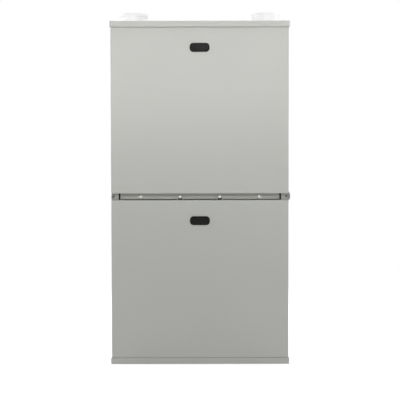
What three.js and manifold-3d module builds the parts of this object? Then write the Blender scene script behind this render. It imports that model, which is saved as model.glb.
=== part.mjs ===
// A condensing forced air gas furnace, upflow, as an assembly of separate sheet metal, cast and
// moulded pieces. Millimetres, +Z up, front towards -Y, origin on the floor under the middle.
import * as THREE from 'three';
import { mergeVertices } from 'three/addons/utils/BufferGeometryUtils.js';
import Module from 'manifold-3d';

const wasm = await Module();
wasm.setup();

// ---------------------------------------------------------------- driving dimensions
// cabinet
const cabinetWidth = 444.5; // over the side panels, 17 1/2 in
const cabinetDepth = 730; // door face to rear flange
const cabinetHeight = 860; // floor to the top of the cap
const sheet = 1; // panels, doors, deck
const capSheet = 1.6; // cap and base pan
const railSheet = 1.2; // mid rail, blower housing, brackets
const seat = 0.3; // gap between two pieces that touch
const capGap = 0.5; // play between the cap's lips and the panels
const lipHeight = 15; // visible lips of the cap and the base pan
const sideFlange = 17; // front flanges of the side panels
const rearFlange = 20; // rear flanges of the side panels
const returnRim = { side: 32.25, end: 85 }; // base pan left round the return air opening
const fillerOverlap = 12; // the bottom filler panel over the rim of the return opening
const fillerFlange = 10;
const supplySideRim = 22.25; // cap left beside the supply air opening
const supplyDepth = 480;
const supplyRearMargin = 14;
const plenumLand = { width: 16, rise: 1 }; // raised face round the supply air opening
const collarDrop = 12; // turned-down edge round the supply opening
const beadWidth = 12; // pressed beads of the back panel
const beadRise = 0.9;
const beadInset = 150;
const ductField = { front: 230, rear: 60, bottom: 70, height: 300 }; // raised where a side return duct goes
const ductRise = 0.6;

// doors and the gap between them
const doorDepth = 16; // the doors stand this far in front of the side flanges
const splitHeight = 421.4; // middle of the gap between the doors
const splitGap = 17.4;
const doorTopGap = 0.8; // upper door to the cap's lip
const lipRecess = 6; // channel face behind the side flanges
const lipDrop = 15.2; // channel face below the upper door
const lipEndGap = 4.5; // channel face to the side flanges
const tongueReach = 150; // door tongues left and right of the middle
const tongueWidth = 28;
const tongueDrop = 12; // below the door's top edge
const tonguePlay = 0.8;
const tongueBeyond = 5; // tongues behind the header
const headerBelow = 8; // header below the tongues
const notchReach = 50; // notches and lower door clips left and right of the middle
const notchTopHalf = 6.6;
const notchBottomHalf = 9.4;
const notchCrown = 3.2; // material left above the notch
const clipHalf = 5; // lower door clips, in the notches
const clipHeight = 11;
const clipFoot = 9;
const upperScrewReach = 150;
const screwHeadRadius = 4.5;
const screwHeadHeight = 3;
const screwShankRadius = 2;
const screwLength = 12;
const screwPlay = 0.5;

// sight glasses
const glassWidth = 50;
const glassHeight = 22.5;
const glassCorner = 8.5;
const glassProud = 1.5;
const glassRim = 3; // flange beyond the hole
const glassSkirt = 5; // behind the door skin
const glassPane = 2;
const glassWall = 1.6;
const glassDish = 0.6; // sunk face inside the rim
const upperGlassDrop = 50; // centre below the upper door's top edge
const lowerGlassDrop = 51.2; // centre below the lower door's top edge

// rails, deck and vestibule panel
const railHeight = 48;
const railFlange = 16;
const railInset = 2; // rail ends inside the side flanges' edges
const deckFlange = 14;
const vestibuleDepth = 200; // door face to the vestibule panel
const vestibuleFlange = 12;

// vent, combustion air and plugs
const pipeInset = 50.25; // couplings' middle from the side of the cabinet
const pipeDepth = 130; // couplings behind the door face
const pipeRadius = 30.15; // 2 in PVC
const pipeWall = 3.9;
const couplingRadius = 35.8;
const couplingRimRadius = 38.2;
const couplingRimHeight = 8;
const couplingRise = 33; // above the cap
const couplingDrop = 26; // below the cap
const couplingFlangeRadius = 47;
const couplingFlange = 3;
const intakeRadius = 36.4;
const plugRadius = 12.5;
const plugProud = 6.9;
const plugHoleRadius = 10.5;
const plugSkirt = 7;
const plugWall = 2;
const plugHeight = 422;
const drainPlugDepth = 36; // behind the door face
const conduitHeight = 335;
const conduitDepth = 105; // conduit knockout behind the door face

// heat exchanger
const tubeRadius = 22;
const tubeWall = 1.5;
const tubeCount = 3;
const passCount = 3;
const tubeBendMargin = 64; // last pass's bend behind the vestibule panel
const fireDrop = 85; // burners and first pass below the top of the cap
const lastPassPlace = 0.2877; // last pass, of the height from the coil to the burners' line
const tubeGrip = 6; // tubes inside the header
const headerDepth = 42;
const headerInset = 72.25; // header's ends from the sides of the cabinet
const headerEnd = 66; // outer tubes from the header's ends
const headerRearGap = 30; // header to the back panel
const headerRoof = 12; // header above its tube holes
const headerBelowCoil = 6;
const coilHeight = 96;
const coilInset = 12; // fins from the header's ends
const finMargin = 14; // fins wider than the tube bundle
const finLead = 8; // first and last fin to the coil's ends
const coilGrip = 4; // tube bundle inside the header
const coilRise = 60.5; // coil above the deck
const finCount = 24;
const finSheet = 0.8;
const coilCore = 8; // tube bundle, drawn flat
const flueWindowHalf = 12; // window in the vestibule panel, from the coil into the collector box

// drain, inducer and its controls
const collectorDepth = 27;
const collectorWall = 4;
const collectorInset = 26.25; // from the left side of the cabinet
const collectorRight = 112; // right of the middle
const collectorMargin = 12; // above and below the coil
const ribCount = 3;
const ribPitch = 22;
const ribSheet = 3;
const ribDepth = 3;
const trapWidth = 70;
const trapDepth = 38;
const trapHeight = 66;
const trapShift = 62; // trap's middle right of the middle
const drainRadius = 8;
const drainWall = 2.2;
const drainSides = 8;
const spigotLength = 8;
const spigotRise = 16;
const hoseStraight = 8; // beyond the spigot
const hoseDrop = 58; // from the trap to where the hose lies on the deck
const hoseLift = 0.5;
const inducerRise = 12; // wheel axis above the coil's middle
const inducerOffset = 44; // wheel axis right of the vent pipe
const inducerRadius = 72;
const inducerDepth = 54;
const inducerWall = 3;
const inletThroat = 24;
const spoutWall = 3.6;
const spoutHeight = 96; // mouth above the wheel axis
const spoutSocket = 22;
const spoutNeck = 36; // round part of the spout, from its mouth down
const inducerWheelRadius = 55;
const inducerWheelWidth = 30;
const inducerBlades = 10;
const inducerShaftRadius = 4;
const inducerMotorRadius = 40;
const inducerMotorLength = 56;
const inducerShaftInMotor = 30;
const inducerWheelGap = 7; // wheel behind the volute's front wall
const inducerPostRadius = 4;
const inducerPostReach = 53;
const inducerPostLength = 17;
const coolingFanRadius = 42;
const coolingFanWidth = 7;
const motorPlate = 2;
const inducerNose = { radius: 14, chamfer: 8, dish: 3, shoulder: 10 };
const inducerVents = { count: 6, radius: 4, reach: 26, depth: 10 };
const coolingHub = 11;
const coolingBlades = 6;
const inducerHub = 10;
const inducerSheet = 2; // back plate and blades of the two small fans

// gas train
const burnerMouthRadius = 20;
const burnerThroatRadius = 11;
const burnerHeadRadius = 18;
const burnerLength = 108;
const burnerHeadGap = 9; // burner heads in front of the vestibule panel
const burnerWall = 1.5;
const burnerThroatStart = 38;
const burnerThroatLength = 24;
const burnerHeadLength = 26;
const burnerLeg = { width: 12, front: 18, back: 6 };
const trayMargin = 44; // tray's walls beyond the outer burners
const trayWallTop = 38; // above the burners' line
const manifoldRadius = 10.7;
const manifoldLead = 24; // in front of the burner mouths
const manifoldOverhang = 8; // left of the tray
const manifoldWall = 3;
const trayLead = 8; // tray in front of the manifold
const trayEar = 12; // screw flanges beyond the tray's walls
const trayRim = { side: 10, rear: 4 }; // round the air opening in the tray's floor
const manifoldElbow = 24;
const orificeRadius = 5;
const orificeGap = 3; // in front of the burners' mouths
const carryover = { width: 8, height: 8 }; // flame strip between the burners
const valveInset = 57.25; // valve's middle from the right side of the cabinet
const valveWidth = 74;
const valveDepth = 56;
const valveHeight = 72;
const knobRadius = 12;
const knobHeight = 9;
const knobStem = 4;
const knobShift = 16; // left of the valve's middle
const knobDrop = 22; // below the valve's top
const valveStep = 4; // valve body behind its front
const valveCheek = 6; // body inside the valve's width on each side
const valveShoulder = 8; // body below the outlet's face
const outletBoss = 6; // wall round the manifold pipe
const inletBoss = 7;
const outletDepth = 12;
const valveInletPlace = 0.42; // of the valve's height
const regulator = { radius: 17, shift: 10, rise: 6, proud: 6 };
const solenoidPlate = { sheet: 7, front: 10, back: 6, bottom: 12, top: 20 };
const knobDisc = 4;
const knobGrip = 5.2; // thickness of the finger grip
const knobStemLength = 10;

// ignition
const electrodeStandoff = 7; // blocks in front of the vestibule panel
const electrodeLead = 5; // middle of the holder in front of the block's back
const igniterBlock = { width: 9, depth: 22, height: 12 };
const igniterHolder = { length: 7, depth: 4, height: 6 };
const igniterElement = { length: 8, wire: 2 };
const igniterDrop = 4; // below the burners' line
const sensorBlock = { width: 9, depth: 18, height: 10 };
const sensorRod = { radius: 1.5, length: 15 };
const sensorRise = 4; // above the burners' line

// small controls on the vestibule panel
const spadeWidth = 6;
const spadeSheet = 1;
const rolloutRise = 42; // above the burners' line
const rolloutReach = 42;
const rolloutRadius = 9;
const rolloutDepth = 12;
const rolloutPlate = { width: 36, height: 12, sheet: 2 };
const rolloutSpade = { reach: 11, proud: 3, length: 11, drop: 3 };
const rolloutFloor = 3; // behind the button
const resetRadius = 3;
const resetProud = 4;
const resetTravel = 2;
const limitDrop = 70; // below the burners' line
const limitReach = 40;
const limitPlate = { width: 44, height: 22, sheet: 1.5 };
const limitDisc = { radius: 8, depth: 11 };
const limitSpade = { reach: 9, proud: 5, length: 12, rise: 2 };
const pressureReach = 40;
const pressurePlace = 0.295; // of the free height from the collector's port to the tray
const pressureTab = 14; // bracket above the drum
const pressureRadius = 30;
const pressureDepth = 26;
const pressurePlate = { width: 36, sheet: 1.5 };
const pressureSeam = 3; // half the flange between the drum's halves
const pressureEdge = 2; // flange beyond the drum
const pressureTaper = { front: 6, back: 4 };
const hosePortRadius = 3.2;
const hosePortLength = 10;

// blower
const blowerDepth = 405; // wheel axis behind the door face
const blowerHeight = 214;
const wheelRadius = 127; // 10 in wheel
const wheelWidth = 203; // 8 in wide
const wheelBlades = 20;
const bladeDepth = 17;
const bladeSheet = 1.6;
const bladeLean = 0.12; // forward curve, radians
const scrollCutoff = 12; // wheel to the cut-off
const scrollGrowth = 51; // cut-off to the outlet
const outletLead = 10; // front of the outlet behind the wheel axis
const wheelSide = 7; // wheel to the side plates
const inletRadius = 102;
const inletRim = 4;
const wheelRim = 5;
const sideRim = 5; // side plates beyond the scroll
const hangerWidth = 12;
const hangerReach = 40; // hangers start in front of the wheel axis
const hangerLead = 60; // rails run further to the front
const motorRadius = 68;
const motorLength = 128;
const motorHubGap = 22; // motor to the middle of the wheel
const motorBandWall = 2;
const motorBandWidth = 16;
const motorFootLength = 18;
const motorFootReach = 6;
const motorFootSheet = 6;
const motorArmWidth = 14;
const motorArmSheet = 2;
const motorEnd = { back: 30, front: 20, chamfer: 12, dish: 4, shoulder: 16 };
const motorVents = { count: 6, radius: 6, reach: 44, depth: 14 };
const shaftRadius = 6.35; // 1/2 in shaft
const shaftInMotor = 44;
const shaftEnd = 6; // beyond the hub
const shaftPlay = 0.8;
const hubRadius = 15;
const hubLength = 30;

// electrics in the blower compartment
const panelDepth = 180; // control panel behind the door face
const panelWidth = 230;
const panelHeight = 134;
const panelFlange = 18;
const boardWidth = 150;
const boardHeight = 104;
const boardSheet = 1.6;
const standoff = 6;
const boardTopDrop = 12;
const boardShift = 36; // board's middle left of the middle
const standoffRadius = 3;
const standoffInset = 6;
// parts on the board: how wide, how high, how far they stand out, and their place from its edges
const relay = { count: 3, width: 20, height: 26, depth: 16, left: 12, bottom: 10, pitch: 26 };
const terminals = { width: 76, height: 11, depth: 10, left: 20, top: 5 };
const connector = { width: 10, height: 36, depth: 12, right: 4, top: 20 };
const chip = { width: 24, height: 24, depth: 3, right: 38, top: 28 };
const fuse = { width: 18, height: 8, depth: 9, left: 108, bottom: 12 };
const boardLamp = { radius: 2.5, depth: 5 };
const transformerWidth = 54;
const transformerHeight = 58;
const transformerDepth = 46;
const transformerFoot = 2;
const transformerCore = { inset: 6, depth: 20, margin: 3 };
const transformerCoil = { inset: 12, margin: 14, back: 6 };
const transformerRise = 8; // above the control panel's bottom edge
const transformerInset = 4; // from the control panel's side
const junctionDepth = 64;
const junctionHeight = 90;
const junctionReach = 46; // out from the side panel
const knockout = { radius: 9, rise: 22, proud: 0.8 };
const switchReach = 124;
const switchWidth = 28;
const switchDepth = 26;
const switchHeight = 22;
const switchStandoff = 2; // behind the side panels' front flanges
const switchSpade = { first: 8, second: 20, drop: 15, length: 8 };
const switchFloor = 3; // behind the plunger
const plungerFloor = 6; // plunger's end in front of the switch's back
const plungerRadius = 3.2;
const harnessRadius = 5;
const harnessReach = 128;
const harnessDepth = 135;
const harnessPlay = 2;
const harnessLead = 7; // loom in front of the board

// ---------------------------------------------------------------- places worked out from them
const halfWidth = cabinetWidth / 2;
const front = -cabinetDepth / 2;
const rear = cabinetDepth / 2;
const wallInside = halfWidth - sheet;
const flangeFace = front + doorDepth;
const flangeBack = flangeFace + sheet;
const flangeEdge = halfWidth - sideFlange;
const capHalfWidth = halfWidth + capGap + capSheet;
const capHalfDepth = rear + capGap + capSheet;
const capUnder = cabinetHeight - capSheet;
const panelTop = capUnder - seat;
const panelBottom = capSheet + seat;
const backOutside = rear - sheet - seat;
const backInside = backOutside - sheet;
const lipY = flangeFace + lipRecess; // front of the channel face
const lipHalf = flangeEdge - lipEndGap;
const railY = lipY + sheet + seat;
const railHalf = flangeEdge + railInset;
const railBottom = splitHeight - railHeight / 2;
const deckBottom = railBottom + railSheet + seat;
const deckTop = deckBottom + sheet;
const vestibuleY = front + vestibuleDepth;
const vestibuleBack = vestibuleY + sheet;
const pipeY = front + pipeDepth;
const pipeReach = halfWidth - pipeInset;
const supplyBackEdge = backInside - supplyRearMargin;
const supplyFrontEdge = supplyBackEdge - supplyDepth;
const supplyHalf = halfWidth - supplySideRim;
const upperDoor = { bottom: splitHeight + splitGap / 2, top: cabinetHeight - lipHeight - doorTopGap };
const lowerDoor = { bottom: lipHeight + seat, top: splitHeight - splitGap / 2 };
const upperGlassZ = upperDoor.top - upperGlassDrop;
const lowerGlassZ = lowerDoor.top - lowerGlassDrop;
const fanAxisX = -pipeReach + inducerOffset;
const collectorFront = vestibuleY - seat - collectorDepth;
const inducerBack = collectorFront - seat;
const inducerFront = inducerBack - inducerDepth;
const fireLine = cabinetHeight - fireDrop;
const coilBottom = deckTop + coilRise;
const coilTop = coilBottom + coilHeight;
const coilMiddle = (coilTop + coilBottom) / 2;
const lastPass = coilTop + lastPassPlace * (fireLine - coilTop);
const passPitch = (fireLine - lastPass) / (passCount - 1);
const hotHeaderHalf = halfWidth - headerInset;
const coilHalf = hotHeaderHalf - coilInset;
const coilCoreHalf = coilHalf - finMargin;
const tubeReach = hotHeaderHalf - headerEnd; // outer tubes left and right of the middle
const trayHalf = tubeReach + trayMargin;
const collectorLeft = halfWidth - collectorInset;
const collectorTop = coilTop + collectorMargin;
const inducerHeight = coilMiddle + inducerRise;
const headerBack = backInside - headerRearGap;
const headerFront = headerBack - headerDepth;
const burnerHeadY = vestibuleY - burnerHeadGap;
const burnerMouthY = burnerHeadY - burnerLength;
const manifoldY = burnerMouthY - manifoldLead;
const trayFloor = fireLine - burnerMouthRadius - seat;
const valveReach = halfWidth - valveInset;
const pressureLowest = collectorTop + 2 * hosePortLength + pressureRadius;
const pressureHighest = trayFloor - railSheet - pressureTab - pressureRadius;
const pressureHeight = pressureLowest + pressurePlace * (pressureHighest - pressureLowest);
const valveFront = manifoldY - valveDepth / 2 + 2;
const valveTop = fireLine - manifoldElbow - manifoldRadius;
const wheelY = front + blowerDepth;
const plateInside = wheelWidth / 2 + wheelSide;
const plateOutside = plateInside + railSheet;
const plateTop = deckBottom - railSheet - seat; // under the rails' top flange
const scrollBack = wheelY + wheelRadius + scrollCutoff + scrollGrowth;
const hangerFront = wheelY - hangerReach;
const hangerBack = scrollBack;
const returnHalf = { x: halfWidth - returnRim.side, y: rear - returnRim.end };
const panelY = front + panelDepth;
const panelTopZ = deckBottom - seat;
const drainY = front + drainPlugDepth;
const conduitY = front + conduitDepth;
const harnessPort = { x: harnessReach, y: front + harnessDepth };

// ---------------------------------------------------------------- solids from three.js geometry
const grain = 0.001; // vertices lie on this grid, so that faces meant to meet share their planes
const past = 1; // a cutting tool runs this far past the faces that it cuts
const weld = 1; // bodies that are joined reach this far into each other

// The closed body that a three.js geometry bounds, with its faces turned outwards.
function solid(geometry) {
  const bare = geometry.clone();
  for (const name of Object.keys(bare.attributes)) {
    if (name !== 'position') bare.deleteAttribute(name);
  }
  const merged = mergeVertices(bare, 1e-3);
  const position = merged.attributes.position.array.map((place) => Math.round(place / grain) * grain);
  const corners = [];
  for (let i = 0; i < merged.index.count; i += 3) {
    const [a, b, c] = merged.index.array.slice(i, i + 3);
    if (a !== b && b !== c && c !== a) corners.push(a, b, c);
  }
  const at = (i) => new THREE.Vector3().fromArray(position, 3 * i);
  let volume = 0;
  for (let i = 0; i < corners.length; i += 3) {
    volume += at(corners[i]).dot(at(corners[i + 1]).cross(at(corners[i + 2])));
  }
  if (volume < 0) corners.reverse();
  return new wasm.Manifold(new wasm.Mesh({
    numProp: 3,
    vertProperties: new Float32Array(position),
    triVerts: new Uint32Array(corners),
  }));
}

const join = (...solids) => solids.reduce((all, one) => all.add(one));
const cut = (body, ...tools) => tools.reduce((left, tool) => left.subtract(tool), body);

function box(x0, x1, y0, y1, z0, z1) {
  const geometry = new THREE.BoxGeometry(x1 - x0, y1 - y0, z1 - z0);
  return solid(geometry.translate((x0 + x1) / 2, (y0 + y1) / 2, (z0 + z1) / 2));
}

// A box mirrored to the side that `side` (-1 left, 1 right) names.
function sideBox(side, x0, x1, y0, y1, z0, z1) {
  return side < 0 ? box(-x1, -x0, y0, y1, z0, z1) : box(x0, x1, y0, y1, z0, z1);
}

// Matrices that carry the XY plane, with its normal, onto the plane across each axis.
const unit = { x: new THREE.Vector3(1, 0, 0), y: new THREE.Vector3(0, 1, 0), z: new THREE.Vector3(0, 0, 1) };
const planes = {
  x: new THREE.Matrix4().makeBasis(unit.y, unit.z, unit.x),
  y: new THREE.Matrix4().makeBasis(unit.z, unit.x, unit.y),
  z: new THREE.Matrix4(),
};

// An outline drawn as [first, second] coordinates of the plane across `axis`: [y, z] across x,
// [z, x] across y and [x, y] across z. It is extruded from `from` to `to`.
function prism(axis, outline, from, to) {
  const shape = new THREE.Shape(outline.map(([u, v]) => new THREE.Vector2(u, v)));
  const geometry = new THREE.ExtrudeGeometry(shape, { depth: to - from, bevelEnabled: false });
  return solid(geometry.translate(0, 0, from).applyMatrix4(planes[axis]));
}

// Lays a geometry that stands along Y along `axis`, through the point that `centre` gives. A
// centre is the two coordinates across the axis, in x, y, z order.
function lay(geometry, axis, centre) {
  if (axis === 'x') return geometry.rotateZ(-Math.PI / 2).translate(0, centre[0], centre[1]);
  if (axis === 'y') return geometry.translate(centre[0], 0, centre[1]);
  return geometry.rotateX(Math.PI / 2).translate(centre[0], centre[1], 0);
}

function rod(axis, radius, from, to, centre, sides = 16) {
  const geometry = new THREE.CylinderGeometry(radius, radius, to - from, sides);
  return solid(lay(geometry.translate(0, (from + to) / 2, 0), axis, centre));
}

const ring = (axis, outer, inner, from, to, centre, sides) =>
  cut(rod(axis, outer, from, to, centre, sides), rod(axis, inner, from - past, to + past, centre, sides));

// A closed profile of [radius, place along the axis] pairs, turned about `axis`.
function turned(axis, profile, centre, sides = 20) {
  const points = [...profile, profile[0]].map(([r, along]) => new THREE.Vector2(r, along));
  return solid(lay(new THREE.LatheGeometry(points, sides), axis, centre));
}

// Radius of a faceted hole that leaves `clearance` round a bar even at the middle of its facets.
const holeRadius = (radius, clearance, sides = 16) => (radius + clearance) / Math.cos(Math.PI / sides);

// Turns a solid about the line along `axis` through `centre`.
function swing(body, axis, [a, b], angle) {
  const pivot = { x: [0, a, b], y: [a, 0, b], z: [a, b, 0] }[axis];
  const matrix = new THREE.Matrix4().makeTranslation(...pivot)
    .multiply(new THREE.Matrix4().makeRotationAxis(unit[axis], angle))
    .multiply(new THREE.Matrix4().makeTranslation(...pivot.map((place) => -place)));
  return body.transform(matrix.elements);
}

const around = (count, make) => Array.from({ length: count }, (_, i) => make((2 * Math.PI * i) / count, i));

// A route through fixed points, one step from each point to the next.
class Route extends THREE.Curve {
  constructor(points) {
    super();
    this.points = points.map((p) => (p.isVector3 ? p : new THREE.Vector3(...p)));
  }

  getPoint(t, target = new THREE.Vector3()) {
    const place = t * (this.points.length - 1);
    const i = Math.min(Math.floor(place), this.points.length - 2);
    return target.lerpVectors(this.points[i], this.points[i + 1], place - i);
  }

  getPointAt(u, target) {
    return this.getPoint(u, target);
  }

  getTangentAt(u, target = new THREE.Vector3()) {
    const last = this.points.length - 1;
    const i = Math.round(u * last);
    const before = this.points[i].clone().sub(this.points[Math.max(i - 1, 0)]).normalize();
    const after = this.points[Math.min(i + 1, last)].clone().sub(this.points[i]).normalize();
    return target.copy(before).add(after).normalize();
  }
}

function circle(radius, sides) {
  const points = [];
  for (let i = 0; i < sides; i += 1) {
    const turn = (2 * Math.PI * (i + 0.5)) / sides;
    points.push(new THREE.Vector2(radius * Math.cos(turn), radius * Math.sin(turn)));
  }
  return points;
}

function tube(points, radius, sides, bore = 0) {
  const section = new THREE.Shape(circle(radius, sides));
  if (bore) section.holes.push(new THREE.Path(circle(bore, sides)));
  const route = new Route(points);
  const geometry = new THREE.ExtrudeGeometry(section, { steps: route.points.length - 1, extrudePath: route });
  return solid(geometry);
}

// Even steps along a smooth curve through the given points.
function smooth(points, steps) {
  const places = points.map((point) => new THREE.Vector3(...point));
  return new THREE.CatmullRomCurve3(places, false, 'centripetal').getSpacedPoints(steps);
}

// A rectangle with round corners across Y, about (0, z).
function rounded(width, height, corner, z) {
  const segments = 3;
  const points = [];
  const centres = [[1, 1], [-1, 1], [-1, -1], [1, -1]];
  centres.forEach(([sx, sz], quarter) => {
    for (let i = 0; i <= segments; i += 1) {
      const turn = ((quarter + i / segments) * Math.PI) / 2;
      const x = sx * (width / 2 - corner) + corner * Math.cos(turn);
      points.push([z + sz * (height / 2 - corner) + corner * Math.sin(turn), x]);
    }
  });
  return points;
}

// ---------------------------------------------------------------- finishes
const finish = (color, roughness, metalness) =>
  new THREE.MeshStandardMaterial({ color, roughness, metalness });
const finishes = {
  paint: finish(0xbfbfba, 0.45, 0.1),
  galvanised: finish(0xb4b8ba, 0.4, 0.8),
  aluminised: finish(0xa3a5a6, 0.45, 0.8),
  castMetal: finish(0xa9abad, 0.4, 0.7),
  stainless: finish(0xc0c1c2, 0.3, 0.9),
  zinc: finish(0xdadbd8, 0.3, 0.9),
  blackSteel: finish(0x232425, 0.5, 0.4),
  motorGrey: finish(0x55585b, 0.5, 0.3),
  whitePvc: finish(0xf4f4f6, 0.4, 0),
  blackPlastic: finish(0x1b1b1c, 0.4, 0),
  greyPlastic: finish(0x6d6f70, 0.5, 0),
  smoked: finish(0x0c0c0b, 0.15, 0),
  rubber: finish(0x202021, 0.8, 0),
  brass: finish(0xb9983f, 0.35, 0.9),
  ceramic: finish(0xe6e1d4, 0.7, 0),
  circuitGreen: finish(0x1f6a3b, 0.5, 0),
  red: finish(0xb3231d, 0.4, 0),
  blue: finish(0x2a4f8f, 0.4, 0),
};

const furnace = new THREE.Group();

function add(name, body, material) {
  const mesh = body.getMesh();
  const geometry = new THREE.BufferGeometry();
  geometry.setAttribute('position', new THREE.Float32BufferAttribute(mesh.vertProperties, 3));
  geometry.setIndex([...mesh.triVerts]);
  geometry.computeVertexNormals();
  const piece = new THREE.Mesh(geometry, material);
  piece.name = name;
  furnace.add(piece);
}

// ---------------------------------------------------------------- cabinet
function basePan() {
  const inX = capHalfWidth - capSheet;
  const inY = capHalfDepth - capSheet;
  const tray = cut(
    box(-capHalfWidth, capHalfWidth, -capHalfDepth, capHalfDepth, 0, lipHeight),
    box(-inX, inX, -inY, inY, capSheet, lipHeight + past),
    box(-returnHalf.x, returnHalf.x, -returnHalf.y, returnHalf.y, -1, capSheet + past),
  );
  const sill = box(-inX, inX, -inY - capSheet / 2, flangeFace - seat, lipHeight - capSheet, lipHeight);
  return join(tray, sill);
}

function bottomFillerPanel() {
  const x = returnHalf.x + fillerOverlap;
  const y = returnHalf.y + fillerOverlap;
  const bottom = capSheet + seat;
  return cut(
    box(-x, x, -y, y, bottom, bottom + fillerFlange),
    box(-x + sheet, x - sheet, -y + sheet, y - sheet, bottom + sheet, bottom + fillerFlange + past),
  );
}

// A side panel with its flanges; the place for a return air duct stands out from it a little.
function sidePanel(side, holes) {
  const outline = [
    [halfWidth, flangeFace], [halfWidth, rear], [halfWidth - rearFlange, rear],
    [halfWidth - rearFlange, rear - sheet], [wallInside, rear - sheet], [wallInside, flangeBack],
    [flangeEdge, flangeBack], [flangeEdge, flangeFace],
  ].map(([x, y]) => [side * x, y]);
  const wall = (side * (wallInside + halfWidth)) / 2;
  const tools = holes.map(([radius, y, z]) => rod('x', radius, wall - sheet, wall + sheet, [y, z]));
  const field = (x0, x1, inset) => sideBox(
    side, x0, x1, front + ductField.front + inset, rear - ductField.rear - inset,
    ductField.bottom + inset, ductField.bottom + ductField.height - inset,
  );
  return cut(
    join(prism('z', outline, panelBottom, panelTop), field(halfWidth - sheet / 2, halfWidth + ductRise, 0)),
    field(wallInside - past, wallInside + ductRise, sheet), ...tools,
  );
}

function backPanel() {
  const x = wallInside - seat;
  const plate = box(-x, x, backInside, backOutside, panelBottom, panelTop);
  const beadHalf = x - rearFlange - beadWidth;
  const beads = [panelBottom + beadInset, (panelBottom + panelTop) / 2, panelTop - beadInset].map((z) =>
    prism('x', [
      [backOutside - sheet / 2, z - beadWidth / 2], [backOutside + beadRise, z - beadWidth / 4],
      [backOutside + beadRise, z + beadWidth / 4], [backOutside - sheet / 2, z + beadWidth / 2],
    ], -beadHalf, beadHalf));
  return join(plate, ...beads);
}

// The cap, with the turned-down collar of the supply opening and the header that the upper
// door's tongues hook into.
function topPanel() {
  const inX = capHalfWidth - capSheet;
  const inY = capHalfDepth - capSheet;
  const lipBottom = cabinetHeight - lipHeight;
  const shell = cut(
    box(-capHalfWidth, capHalfWidth, -capHalfDepth, capHalfDepth, lipBottom, cabinetHeight),
    box(-inX, inX, -inY, inY, lipBottom - past, capUnder),
  );
  const roundOpening = (width, bottom, top) => box(
    -supplyHalf - width, supplyHalf + width, supplyFrontEdge - width, supplyBackEdge + width, bottom, top,
  );
  const land = roundOpening(plenumLand.width, capUnder + capSheet / 2, cabinetHeight + plenumLand.rise);
  const collar = roundOpening(capSheet, capUnder - collarDrop, capUnder + capSheet / 2);
  const headerBottom = upperDoor.top - tongueDrop - headerBelow;
  const headerY = flangeBack + seat;
  const headerHalf = wallInside - seat;
  const headerBack = headerY + railSheet;
  const header = box(-headerHalf, headerHalf, headerY, headerBack, headerBottom, capUnder + capSheet / 2);
  const slotHalf = tongueWidth / 2 + tonguePlay;
  const slotBottom = upperDoor.top - tongueDrop - tonguePlay;
  const slotTop = slotBottom + sheet + 2 * tonguePlay;
  const slots = [-tongueReach, tongueReach].map((x) =>
    box(x - slotHalf, x + slotHalf, headerY - past, headerBack + past, slotBottom, slotTop));
  const ventHole = holeRadius(couplingRadius, capGap, 24);
  const intakeHole = holeRadius(intakeRadius, capGap, 24);
  return cut(
    join(shell, land, collar, header),
    roundOpening(0, lipBottom - past, cabinetHeight + plenumLand.rise + past),
    rod('z', ventHole, capUnder - past, cabinetHeight + past, [-pipeReach, pipeY], 24),
    rod('z', intakeHole, capUnder - past, cabinetHeight + past, [pipeReach, pipeY], 24),
    ...slots,
  );
}

const screwHole = (x, y0, y1) =>
  rod('y', screwShankRadius + screwPlay, y0 - past, y1 + past, [x, splitHeight], 12);

// Channel behind the gap of the doors, with ears behind the side panels' front flanges.
function midRail() {
  const top = splitHeight + railHeight / 2;
  const back = railY + railFlange;
  const channel = cut(
    box(-railHalf, railHalf, railY, back, railBottom, top),
    box(
      -railHalf - past, railHalf + past, railY + railSheet, back + past,
      railBottom + railSheet, top - railSheet,
    ),
  );
  const earY = flangeBack + seat;
  const ears = [-1, 1].flatMap((side) => [
    sideBox(side, railHalf - railSheet, railHalf, earY, railY + railSheet, railBottom, top),
    sideBox(side, railHalf - railSheet, wallInside - seat, earY, earY + railSheet, railBottom, top),
  ]);
  const holes = [-upperScrewReach, -notchReach, notchReach, upperScrewReach].map((x) =>
    screwHole(x, railY, railY + railSheet));
  return cut(join(channel, ...ears), ...holes);
}

// Floor between the compartments; two hanger rails under it carry the blower.
function blowerDeck() {
  const half = wallInside - seat;
  const yFront = railY + railSheet + seat;
  const yBack = backInside - seat;
  const plate = box(-half, half, yFront, yBack, deckBottom, deckTop);
  const flanges = [-1, 1].map((side) =>
    sideBox(side, half - sheet, half, yFront, yBack, deckBottom - deckFlange, deckTop));
  const rails = [-1, 1].map((side) => {
    const inner = plateOutside + seat;
    const outer = plateOutside + hangerWidth + seat;
    const ledge = plateTop - railSheet - seat;
    const outline = [
      [outer + railSheet, deckBottom + sheet / 2], [outer + railSheet, ledge - railSheet],
      [inner + seat, ledge - railSheet], [inner + seat, ledge], [outer, ledge],
      [outer, deckBottom - railSheet], [inner, deckBottom - railSheet], [inner, deckBottom + sheet / 2],
    ].map(([x, z]) => [z, side * x]);
    return prism('y', outline, hangerFront - hangerLead, hangerBack);
  });
  const under = deckBottom - past;
  const over = deckTop + past;
  const outlet = box(-plateInside, plateInside, wheelY + outletLead, scrollBack, under, over);
  const loomHole = rod('z', harnessRadius + harnessPlay, under, over, [harnessPort.x, harnessPort.y], 12);
  return cut(join(plate, ...flanges, ...rails), outlet, loomHole);
}

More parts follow.
